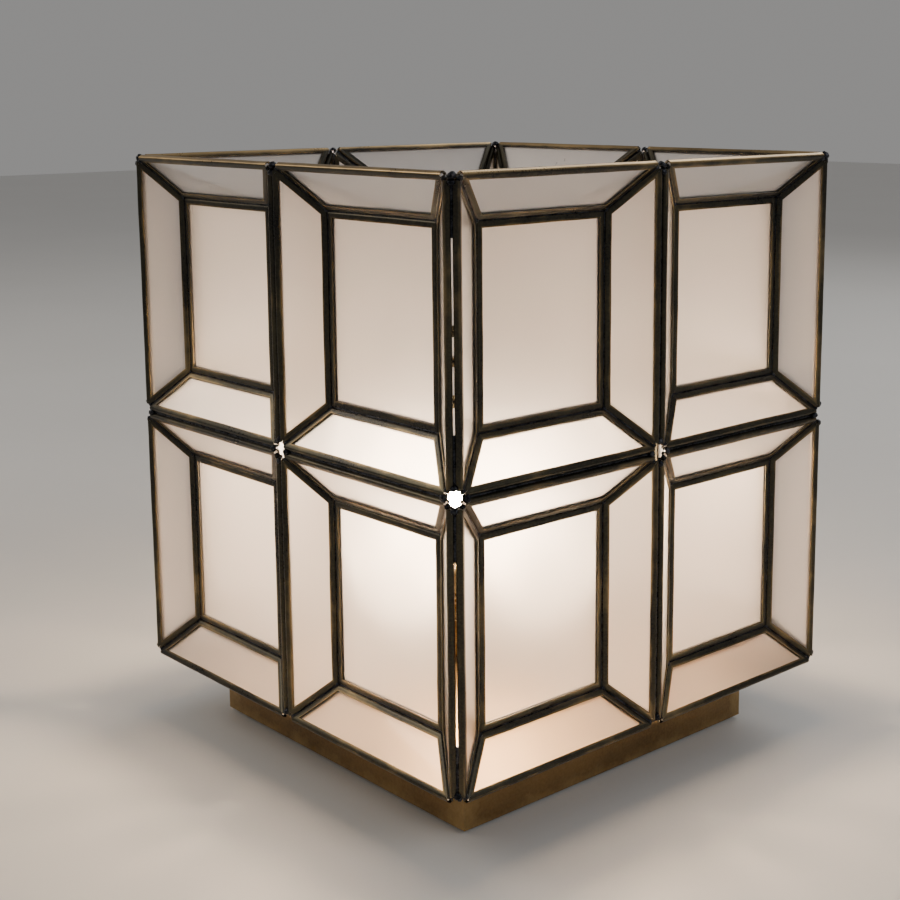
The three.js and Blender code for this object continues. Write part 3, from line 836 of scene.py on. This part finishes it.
# Brushing: fine lines left along the sheet by the finishing belt
def brushing_group():
    tree, given, out = new_tree(
        "belt_lines",
        "ShaderNodeTree",
        {"Place": "Vector", "Line Scale": 900.0, "Stretch": (0.03, 0.03, 1.0)},
        {"Height": "Float"},
    )
    drawn = times(tree, given["Place"], given["Stretch"])
    tree.links.new(noise_of(tree, drawn, given["Line Scale"], 4.0)["Fac"], out["Height"])
    return tree


belt_lines = brushing_group()


def metal_finish(name, tones, bright, roughness, wear, line_stretch=(0.03, 0.03, 1.0)):
    finish, tree, surface, place = new_finish(name)
    edge = put(tree, "ShaderNodeAttribute", attribute_name="wear").outputs["Fac"]
    clouding = {"Place": place, "Cloud Scale": 11.0, "Mottle Scale": 620.0, "Cover": 0.5}
    skin = grouped(tree, tarnish, clouding)
    bright_mask = grouped(tree, rubbed_edges, {"Place": place, "Edge": edge, "Patch Scale": 60.0, "Amount": wear})
    lines = grouped(tree, belt_lines, {"Place": place, "Line Scale": 1100.0, "Stretch": line_stretch})
    base = colour_mix(tree, skin["Tone"], tones[0], tones[1])
    colour = colour_mix(tree, bright_mask["Mask"], base, bright)
    lined = reckon(tree, "MULTIPLY", skin["Tone"], lines["Height"])
    shaded(tree, surface, {
        "Base Color": colour,
        "Metallic": 1.0,
        "Roughness": spread(tree, lined, *roughness),
        "Normal": bumped(tree, lines["Height"], 0.5, 0.00012),
    })
    return finish


plinth_brass = metal_finish(
    "antique_brass",
    tones=((0.15, 0.094, 0.043, 1), (0.32, 0.20, 0.086, 1)),
    bright=(0.52, 0.36, 0.16, 1),
    roughness=(0.3, 0.52),
    wear=0.4,
)


def dress(node, finish):
    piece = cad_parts[node]
    piece.data.materials.clear()
    piece.data.materials.append(finish)


dress("shade_floor_plate", plinth_brass)

plinth_low, plinth_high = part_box("plinth_shell")


def plinth():
    bm = bmesh.new()
    wear = bm.verts.layers.float.new("wear")
    half = plinth_high.x
    rings = []
    top, low, edge = plinth_high.z, plinth_low.z, PLINTH_EDGE
    roof = top - PLINTH_WALL
    levels = [(half - PLINTH_WALL, low, 0.5), (half, low, 1.0)]
    levels += [(half, low + 0.008, 0.1), (half, top - 0.008, 0.1)]
    for step in range(4):
        angle = step * math.pi / 6
        levels.append((half - edge + edge * math.cos(angle), top - edge + edge * math.sin(angle), 1.0))
    levels += [(0.01, top, 0.1), (0.0053, top, 0.1), (0.0053, roof, 0.1), (0.012, roof, 0.1)]
    levels += [(half - PLINTH_WALL, roof, 0.1)]
    for reach, z, worn in levels:
        ring = []
        for quarter in range(4):
            for step in range(12):
                along = -1 + step / 6
                turn = Matrix.Rotation(quarter * math.pi / 2, 4, "Z")
                if reach < 0.02:
                    angle = math.pi / 4 * along
                    spot = Vector((reach * math.sin(angle), -reach * math.cos(angle), z))
                else:
                    soft = edge if reach > 0.05 else 0
                    across = max(-1, min(1, along)) * (reach - soft * 0.3 * (abs(along) == 1))
                    spot = Vector((across, -reach + soft * 0.3 * (abs(along) == 1), z))
                vertex = bm.verts.new(turn @ spot)
                vertex[wear] = max(worn, 0.9 if abs(along) == 1 and reach > 0.05 else 0)
                ring.append(vertex)
        rings.append(ring)
    join_rings(bm, rings + [rings[0]])
    return mesh_from(bm, "plinth")


plinth_piece = place_mesh(plinth(), "plinth")
plinth_piece.data.materials.append(plinth_brass)
settle(plinth_piece, "lamp", ["plinth_shell"])


# ---- Cover, screws and feet ----
# A zinc-plated steel sheet closes the plinth from below. Four slotted screws hold it to the corner tabs,
# and four moulded rubber feet are glued on. The screws and feet are each one shape, set on four corners.
zinc = metal_finish(
    "zinc_plate",
    tones=((0.42, 0.43, 0.45, 1), (0.62, 0.62, 0.6, 1)),
    bright=(0.8, 0.8, 0.8, 1),
    roughness=(0.26, 0.42),
    wear=0.3,
    line_stretch=(1.0, 0.03, 1.0),
)
for node in ("bottom_cover", "nipple_washer"):
    dress(node, zinc)


# A turned shape from [radius, height] points; a profile that ends off the axis closes on its first point.
def turned_ring(bm, radius, height, sides):
    if radius < 1e-7:
        return [bm.verts.new((0, 0, height))]
    angles = [math.tau * i / sides for i in range(sides)]
    return [bm.verts.new((radius * math.cos(a), radius * math.sin(a), height)) for a in angles]


def turned_shape(bm, points, sides):
    bm.verts.layers.float.new("wear")
    rings = [turned_ring(bm, radius, height, sides) for radius, height in points]
    if points[0][0] > 1e-7:
        rings.append(rings[0])
    join_rings(bm, rings)


def turned_piece(name, profile, sides, smooth_below):
    bm = bmesh.new()
    turned_shape(bm, profile, sides)
    return place_mesh(mesh_from(bm, name, smooth_below), name)


def rounded(start, corner, end, steps=3):
    points = []
    for step in range(steps + 1):
        t = step / steps
        a = Vector(start).lerp(Vector(corner), t)
        b = Vector(corner).lerp(Vector(end), t)
        points.append(tuple(a.lerp(b, t)))
    return points


screw_low, screw_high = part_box("cover_screw_front_left")
foot_low, foot_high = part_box("foot_front_left")


def cover_screw():
    head, shank = (screw_high.x - screw_low.x) / 2, 0.0015
    base, height = screw_low.z, 0.0012
    profile = [(0, base), (head * 0.55, base + 0.00005), (head * 0.85, base + 0.0003), (head, base + 0.0008)]
    profile += [(head, base + height), (shank, base + height), (shank, screw_high.z - 0.0015)]
    profile += [(0.0004, screw_high.z - 0.0002), (0, screw_high.z)]
    screw = turned_piece("cover_screw", profile, 16, 30)
    slot = bmesh.new()
    slot_size = Matrix.Diagonal((0.0007, 0.0064, 0.0013, 1))
    bmesh.ops.create_cube(slot, size=1, matrix=Matrix.Translation((0, 0, base)) @ slot_size)
    cutter = place_mesh(mesh_from(slot, "slot", 30), "slot")
    cut = screw.modifiers.new("slot", "BOOLEAN")
    cut.object, cut.operation, cut.solver = cutter, "DIFFERENCE", "EXACT"
    bpy.context.view_layer.update()
    made = bpy.data.meshes.new_from_object(screw.evaluated_get(bpy.context.evaluated_depsgraph_get()))
    screw.modifiers.remove(cut)
    screw.data = made
    remove_source(cutter)
    return screw


def rubber_foot():
    radius = (foot_high.x - foot_low.x) / 2
    top = foot_high.z
    profile = [(0, 0.0006), (radius * 0.5, 0.0006), (radius * 0.56, 0.0)]
    profile += rounded((radius - 0.0009, 0), (radius, 0), (radius, 0.0009))
    profile += rounded((radius, top - 0.0004), (radius, top), (radius - 0.0004, top), 2) + [(0, top)]
    return turned_piece("rubber_foot", profile, 28, 40)


# Geometry Nodes: one copy of a shape on each corner point, turned by its own amount
def corner_copies_tree():
    tree, given, out = new_tree(
        "corner_copies",
        "GeometryNodeTree",
        {"Points": "Geometry", "Shape": "Object", "Most Turn": 0.0, "Seed": 3, "Finish": "Material"},
        {"Mesh": "Geometry"},
    )
    shape = put(tree, "GeometryNodeObjectInfo", {"Object": given["Shape"]})
    angle = put(tree, "FunctionNodeRandomValue", {"Seed": given["Seed"]}, data_type="FLOAT")
    tree.links.new(given["Most Turn"], angle.inputs[3])
    angles = put(tree, "ShaderNodeCombineXYZ", {"Z": angle.outputs[1]})
    turn = put(tree, "FunctionNodeEulerToRotation", {"Euler": angles.outputs[0]})
    copies = put(
        tree,
        "GeometryNodeInstanceOnPoints",
        {"Points": given["Points"], "Instance": shape.outputs["Geometry"], "Rotation": turn.outputs[0]},
    )
    tree.links.new(coloured(tree, realized(tree, copies.outputs[0]), given["Finish"]), out["Mesh"])
    return tree


def rubber_finish():
    finish, tree, surface, place = new_finish("moulded_rubber")
    clouding = {"Place": place, "Cloud Scale": 120.0, "Mottle Scale": 1500.0, "Cover": 0.5}
    skin = grouped(tree, tarnish, clouding)
    colour = colour_mix(tree, skin["Tone"], (0.016, 0.016, 0.017, 1), (0.038, 0.037, 0.036, 1))
    shaded(tree, surface, {
        "Base Color": colour,
        "Roughness": spread(tree, skin["Tone"], 0.6, 0.85),
        "Normal": bumped(tree, skin["Height"], 0.5, 0.0002),
    })
    return finish


moulded_rubber = rubber_finish()
corner_copies = corner_copies_tree()
CORNERS = ("front_left", "front_right", "back_right", "back_left")
for shape, node, name, most_turn, finish, slot_name in (
    (cover_screw(), "cover_screw", "cover_screws", 3.1, zinc, "steel"),
    (rubber_foot(), "foot", "rubber_feet", 0.0, moulded_rubber, "rubber"),
):
    places = bpy.data.meshes.new("corner_points")
    boxes = [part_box(f"{node}_{corner}") for corner in CORNERS]
    places.from_pydata([((a.x + b.x) / 2, (a.y + b.y) / 2, 0) for a, b in boxes], [], [])
    piece = run_tree(corner_copies, places, name, {"Shape": shape, "Most Turn": most_turn, "Finish": finish})
    settle(piece, "lamp", [f"{node}_{corner}" for corner in CORNERS])
    remove_source(shape)


# ---- Cord inlet ----
# A moulded rubber bush, pushed through the plinth's back wall from outside, with a rounded flange.
bush_low, bush_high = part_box("cord_inlet_bush")


def inlet_bush():
    bm = bmesh.new()
    radius, bore, shank = (bush_high.x - bush_low.x) / 2, 0.004, 0.006
    tail, front, wall = bush_low.y, bush_high.y, plinth_high.y + 0.0003
    profile = [(bore, tail), (shank - 0.0006, tail), (shank, tail + 0.0006), (shank, wall), (radius, wall)]
    profile += rounded((radius, front - 0.0012), (radius, front), (radius - 0.0012, front), 4)
    profile += rounded((bore + 0.0012, front), (bore, front), (bore, front - 0.0012), 4)
    turned_shape(bm, profile, 36)
    axis = Matrix.Translation((0, 0, (bush_low.z + bush_high.z) / 2))
    bmesh.ops.transform(bm, matrix=axis @ Matrix.Rotation(-math.pi / 2, 4, "X"), verts=bm.verts)
    return place_mesh(mesh_from(bm, "cord_bush", 40), "cord_bush")


bush = inlet_bush()
bush.data.materials.append(moulded_rubber)
settle(bush, "lamp", ["cord_inlet_bush"])


# ---- Threaded nipple and lock nut ----
# A zinc-plated tube with a rolled thread clamps the lampholder, floor plate and plinth together.
# The washer is the frame's own; the nut is a hexagon with chamfered corners.
NIPPLE_PITCH = 0.001
nipple_low, nipple_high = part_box("threaded_nipple")
nut_low, nut_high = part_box("lock_nut")


# Geometry Nodes: a thread as a fine ridge wound round a core
def thread_tree():
    tree, given, out = new_tree("rolled_thread", "GeometryNodeTree", {
        "Core": "Geometry",
        "Radius": 0.005,
        "Ridge": 0.0003,
        "Turns": 10.0,
        "Length": 0.01,
        "Start": (0, 0, 0),
        "Finish": "Material",
    }, {"Mesh": "Geometry"})
    wound = put(tree, "GeometryNodeCurveSpiral", {
        "Resolution": 24,
        "Rotations": given["Turns"],
        "Start Radius": given["Radius"],
        "End Radius": given["Radius"],
        "Height": given["Length"],
    })
    section = put(tree, "GeometryNodeCurvePrimitiveCircle", {"Resolution": 4, "Radius": given["Ridge"]})
    ridge = put(
        tree,
        "GeometryNodeCurveToMesh",
        {"Curve": wound.outputs[0], "Profile Curve": section.outputs["Curve"], "Fill Caps": True},
    )
    placed = put(tree, "GeometryNodeTransform", {"Geometry": ridge.outputs[0], "Translation": given["Start"]})
    both = put(tree, "GeometryNodeJoinGeometry")
    tree.links.new(placed.outputs[0], both.inputs[0])
    tree.links.new(given["Core"], both.inputs[0])
    tree.links.new(coloured(tree, realized(tree, both.outputs[0]), given["Finish"]), out["Mesh"])
    return tree


def nipple_core():
    bm = bmesh.new()
    outside, bore, ease = (nipple_high.x - nipple_low.x) / 2 - 0.0003, 0.0035, 0.0004
    low, high = nipple_low.z, nipple_high.z
    profile = [(bore + ease, low), (outside - ease, low), (outside, low + ease), (outside, high - ease)]
    profile += [(outside - ease, high), (bore + ease, high), (bore, high - ease), (bore, low + ease)]
    turned_shape(bm, profile, 32)
    return mesh_from(bm, "nipple_core", 30)


nipple = run_tree(thread_tree(), nipple_core(), "nipple", {
    "Radius": nipple_high.x - 0.00032,
    "Ridge": 0.0003,
    "Turns": (nipple_high.z - nipple_low.z - 0.0016) / NIPPLE_PITCH,
    "Length": nipple_high.z - nipple_low.z - 0.0016,
    "Start": (0, 0, nipple_low.z + 0.0008),
    "Finish": zinc,
})


def hexagon_nut():
    bm = bmesh.new()
    corner_radius = max(nut_high.x, nut_high.y)
    flat = corner_radius * math.cos(math.pi / 6)
    bore, low, high = 0.0053, nut_low.z, nut_high.z
    quarter_turn = math.pi / 2 if nut_high.y > nut_high.x else 0.0
    sides = 48
    rings = []
    for level in range(6):
        z = (low, low + 0.0007, high - 0.0007, high, high, low)[level]
        ring = []
        for i in range(sides):
            angle = math.tau * i / sides
            within = (angle % (math.pi / 3)) - math.pi / 6
            side = flat / math.cos(within)
            reach = (min(side, flat + 0.0001), side, side, min(side, flat + 0.0001), bore, bore)[level]
            spin = angle + quarter_turn
            ring.append(bm.verts.new((reach * math.cos(spin), reach * math.sin(spin), z)))
        rings.append(ring)
    join_rings(bm, rings + [rings[0]])
    return place_mesh(mesh_from(bm, "hexagon_nut", 25), "hexagon_nut")


nut = hexagon_nut()
nut.data.materials.append(zinc)
for piece, node in ((nipple, "threaded_nipple"), (nut, "lock_nut")):
    settle(piece, "lamp", [node])


# ---- Lampholder ----
# Pressed brass cap and sleeve with a beaded joint, a glazed porcelain insert, and inside them the
# rolled screw shell and the sprung centre contact that the bulb screws down on.
SHELL_PITCH = 0.0036
holder_brass = metal_finish(
    "pressed_brass",
    tones=((0.30, 0.20, 0.08, 1), (0.56, 0.40, 0.18, 1)),
    bright=(0.78, 0.60, 0.32, 1),
    roughness=(0.22, 0.38),
    wear=0.3,
    line_stretch=(0.05, 0.05, 1.0),
)
cap_low, cap_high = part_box("lampholder_cap")
sleeve_low, sleeve_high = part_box("lampholder_sleeve")
insert_low, insert_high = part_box("porcelain_insert")
shell_low, shell_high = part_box("screw_shell")
contact_low, contact_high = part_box("centre_contact")


def holder_cap():
    radius, low, high, wall, clear = cap_high.x, cap_low.z, cap_high.z, 0.0014, 0.0054
    shoulder = 0.005
    skirt, inside = radius - 0.0003, radius - wall
    profile = [(clear, low), (radius - 0.0065, low)]
    profile += rounded((radius - 0.0045, low), (radius - 0.0008, low + 0.0004), (skirt, low + shoulder), 6)
    profile += [(skirt, low + 0.009), (radius, low + 0.0096), (radius, low + 0.0106), (skirt, low + 0.0112)]
    profile += [(skirt, high - 0.0032), (radius, high - 0.0026), (radius, high - 0.0004)]
    profile += [(radius - 0.0004, high), (inside, high), (inside, low + 0.0062)]
    profile += [(radius - 0.0045, low + wall), (clear, low + wall)]
    return turned_piece("holder_cap", profile, 56, 35)


def holder_sleeve():
    radius, low, high = sleeve_high.x, sleeve_low.z, sleeve_high.z
    inside, tube = shell_high.x + 0.0003, radius - 0.0004
    profile = [(inside, low), (tube, low), (radius, low + 0.0004), (radius, low + 0.0022)]
    profile += [(tube, low + 0.0028)]
    for bead in range(3):
        z = low + 0.008 + bead * 0.0035
        profile += [(tube, z), (radius, z + 0.0006), (radius, z + 0.0014), (tube, z + 0.002)]
    profile += [(tube, high - 0.004)]
    profile += rounded((tube, high - 0.003), (radius - 0.0005, high), (radius - 0.003, high), 5)
    profile += [(inside, high)]
    return turned_piece("holder_sleeve", profile, 56, 35)


def porcelain_block():
    radius, low, high = insert_high.x, insert_low.z, insert_high.z
    profile = [(0, low)] + rounded((radius - 0.0012, low), (radius, low), (radius, low + 0.0012), 3)
    profile += rounded((radius, high - 0.0012), (radius, high), (radius - 0.0012, high), 3)
    profile += [(0.0125, high), (0.012, high - 0.0008), (0.006, high - 0.0008), (0.0055, high), (0, high)]
    return turned_piece("porcelain_block", profile, 48, 40)


# A thin wall or a solid with the round-topped Edison thread rolled in; the thread fades out at both ends.
def rolled_thread(bm, radius, depth, low, high, wall=None, sides=40, start=(), end=()):
    rows = max(8, round((high - low) / 0.0006))

    def skin(shift):
        rings = []
        for row in range(rows + 1):
            z = low + (high - low) * row / rows
            fade = min(1.0, row / 4, (rows - row) / 4)
            ring = []
            for i in range(sides):
                angle = math.tau * i / sides
                wave = math.cos(math.tau * (z - low) / SHELL_PITCH - angle)
                reach = radius + shift - depth * (1 - (0.5 + 0.5 * wave) * fade)
                ring.append(bm.verts.new((reach * math.cos(angle), reach * math.sin(angle), z)))
            rings.append(ring)
        return rings

    rings = [turned_ring(bm, *point, sides) for point in start] + skin(0)
    if wall:
        rings += list(reversed(skin(-wall)))
        rings.append(rings[0])
    else:
        rings += [turned_ring(bm, *point, sides) for point in end]
    join_rings(bm, rings)


def screw_shell():
    bm = bmesh.new()
    rolled_thread(bm, shell_high.x, 0.00025, shell_low.z, shell_high.z, wall=0.0003)
    return place_mesh(mesh_from(bm, "threaded_shell", 60), "threaded_shell")


def contact_spring():
    radius, low, high = contact_high.x, contact_low.z, contact_high.z
    profile = [(0, low + 0.0003), (radius * 0.5, low), (radius * 0.92, low), (radius, low + 0.0003)]
    profile += rounded((radius * 0.8, low + 0.0006), (radius * 0.5, high), (0.0002, high), 4) + [(0, high)]
    return turned_piece("contact_spring", profile, 24, 40)


def porcelain_finish():
    finish, tree, surface, place = new_finish("glazed_porcelain")
    skin = grouped(tree, tarnish, {"Place": place, "Cloud Scale": 90.0, "Mottle Scale": 700.0, "Cover": 0.4})
    colour = colour_mix(tree, skin["Tone"], (0.80, 0.78, 0.72, 1), (0.70, 0.67, 0.60, 1))
    shaded(tree, surface, {
        "Base Color": colour,
        "Roughness": spread(tree, skin["Tone"], 0.12, 0.26),
        "Coat Weight": 0.6,
        "Normal": bumped(tree, skin["Height"], 0.15, 0.0003),
    })
    return finish


glazed_porcelain = porcelain_finish()
for piece, node, finish, slot_name in (
    (holder_cap(), "lampholder_cap", holder_brass, "brass"),
    (holder_sleeve(), "lampholder_sleeve", holder_brass, "brass"),
    (porcelain_block(), "porcelain_insert", glazed_porcelain, "porcelain"),
    (screw_shell(), "screw_shell", holder_brass, "brass"),
    (contact_spring(), "centre_contact", holder_brass, "brass"),
):
    piece.data.materials.append(finish)
    settle(piece, "lamp", [node])


# ---- Bulb ----
# An opal glass globe on a rolled screw cap, lit warm white. It lifts out upwards as one piece.
BULB_GLOW = 215.0
bulb_cap_low, bulb_cap_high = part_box("bulb_screw_cap")
globe_low, globe_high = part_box("bulb_glass")
nickel = metal_finish(
    "nickel_cap",
    tones=((0.5, 0.49, 0.46, 1), (0.66, 0.65, 0.62, 1)),
    bright=(0.85, 0.84, 0.82, 1),
    roughness=(0.18, 0.32),
    wear=0.3,
    line_stretch=(0.05, 0.05, 1.0),
)


def bulb_cap():
    bm = bmesh.new()
    radius, low, high = bulb_cap_high.x, bulb_cap_low.z, bulb_cap_high.z
    button = rounded((0.0006, low), (0.0042, low), (0.0048, low + 0.0015), 4)
    start = [(0, low)] + button + [(0.0058, low + 0.0017)]
    start += [(radius - 0.0022, low + 0.0044), (radius - 0.0012, low + 0.0054)]
    end = [(radius - 0.0003, high - 0.0022), (radius, high - 0.0012), (radius, high - 0.0002)]
    end += [(radius - 0.0004, high), (0, high)]
    rolled_thread(bm, radius, 0.0009, low + 0.0062, high - 0.003, start=start, end=end)
    return place_mesh(mesh_from(bm, "bulb_cap", 60), "bulb_cap")


def globe():
    ball = globe_high.x
    centre = globe_high.z - ball
    low, neck = globe_low.z, 0.0126
    pull = 0.45 * (centre - low)
    profile = [(0, low)]
    for step in range(21):
        t = step / 20
        weights = ((1 - t) ** 3, 3 * t * (1 - t) ** 2, 3 * t * t * (1 - t), t ** 3)
        radius = sum(w * v for w, v in zip(weights, (neck, neck, ball, ball)))
        height = sum(w * v for w, v in zip(weights, (low, low + pull, centre - pull, centre)))
        profile.append((radius, height))
    for step in range(1, 17):
        angle = step / 16 * math.pi / 2
        profile.append((ball * math.cos(angle) if step < 16 else 0, centre + ball * math.sin(angle)))
    return turned_piece("globe", profile, 64, 60)


def lit_opal_finish():
    finish, tree, surface, place = new_finish("lit_opal")
    waves = {"Place": place, "Ripple Scale": 60.0, "Grain Scale": 900.0, "Grain": 0.2}
    haze = grouped(tree, glass_ripple, waves)
    glow = colour_mix(tree, haze["Cloud"], (1.0, 0.74, 0.50, 1), (1.0, 0.80, 0.59, 1))
    shaded(tree, surface, {
        "Base Color": colour_mix(tree, haze["Cloud"], (0.86, 0.84, 0.80, 1), (0.92, 0.9, 0.86, 1)),
        "Roughness": spread(tree, haze["Cloud"], 0.15, 0.25),
        "Emission Color": glow,
        "Emission Strength": BULB_GLOW,
    })
    return finish


for piece, node, finish, slot_name in (
    (bulb_cap(), "bulb_screw_cap", nickel, "steel"),
    (globe(), "bulb_glass", lit_opal_finish(), "bulb_glass"),
):
    piece.data.materials.append(finish)
    settle(piece, "bulb", [node])


# ---- Studio ----
# A pale floor and soft lamps round the object; none of it belongs to the lamp.
def floor_finish():
    finish, tree, surface, place = new_finish("pale_floor")
    cloud = put(tree, "ShaderNodeTexNoise", {"Vector": place, "Scale": 3.0, "Detail": 3.0}).outputs["Fac"]
    colour = colour_mix(tree, cloud, (0.70, 0.69, 0.67, 1), (0.76, 0.75, 0.73, 1))
    shaded(tree, surface, {"Base Color": colour, "Roughness": spread(tree, cloud, 0.5, 0.65)})
    return finish


floor_bm = bmesh.new()
bmesh.ops.create_grid(floor_bm, x_segments=8, y_segments=8, size=6)
floor = place_mesh(mesh_from(floor_bm, "floor"), "floor")
floor.data.materials.append(floor_finish())
floor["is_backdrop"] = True


def soft_lamp(name, place, size, power, tone):
    light = bpy.data.lights.new(name, "AREA")
    light.shape = "DISK"
    light.size = size
    light.energy = power
    light.color = tone
    lamp = bpy.data.objects.new(name, light)
    bpy.context.scene.collection.objects.link(lamp)
    lamp.location = place
    lamp.rotation_euler = (Vector((0, 0, 0.17)) - Vector(place)).to_track_quat("-Z", "Y").to_euler()


soft_lamp("softbox_left", (-1.5, -1.3, 1.5), 1.1, 15, (1.0, 0.90, 0.78))
soft_lamp("softbox_right", (1.9, 0.4, 1.4), 1.1, 10, (0.97, 0.98, 1.0))
soft_lamp("softbox_back", (-0.4, 1.8, 1.6), 1.3, 12, (1.0, 0.99, 0.97))

world = bpy.data.worlds.new("studio")
world.use_nodes = True
bpy.context.scene.world = world
background = world.node_tree.nodes["Background"]
background.inputs["Color"].default_value = (0.62, 0.61, 0.6, 1)
background.inputs["Strength"].default_value = 0.45


# ---- Sizes ----
low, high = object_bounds()
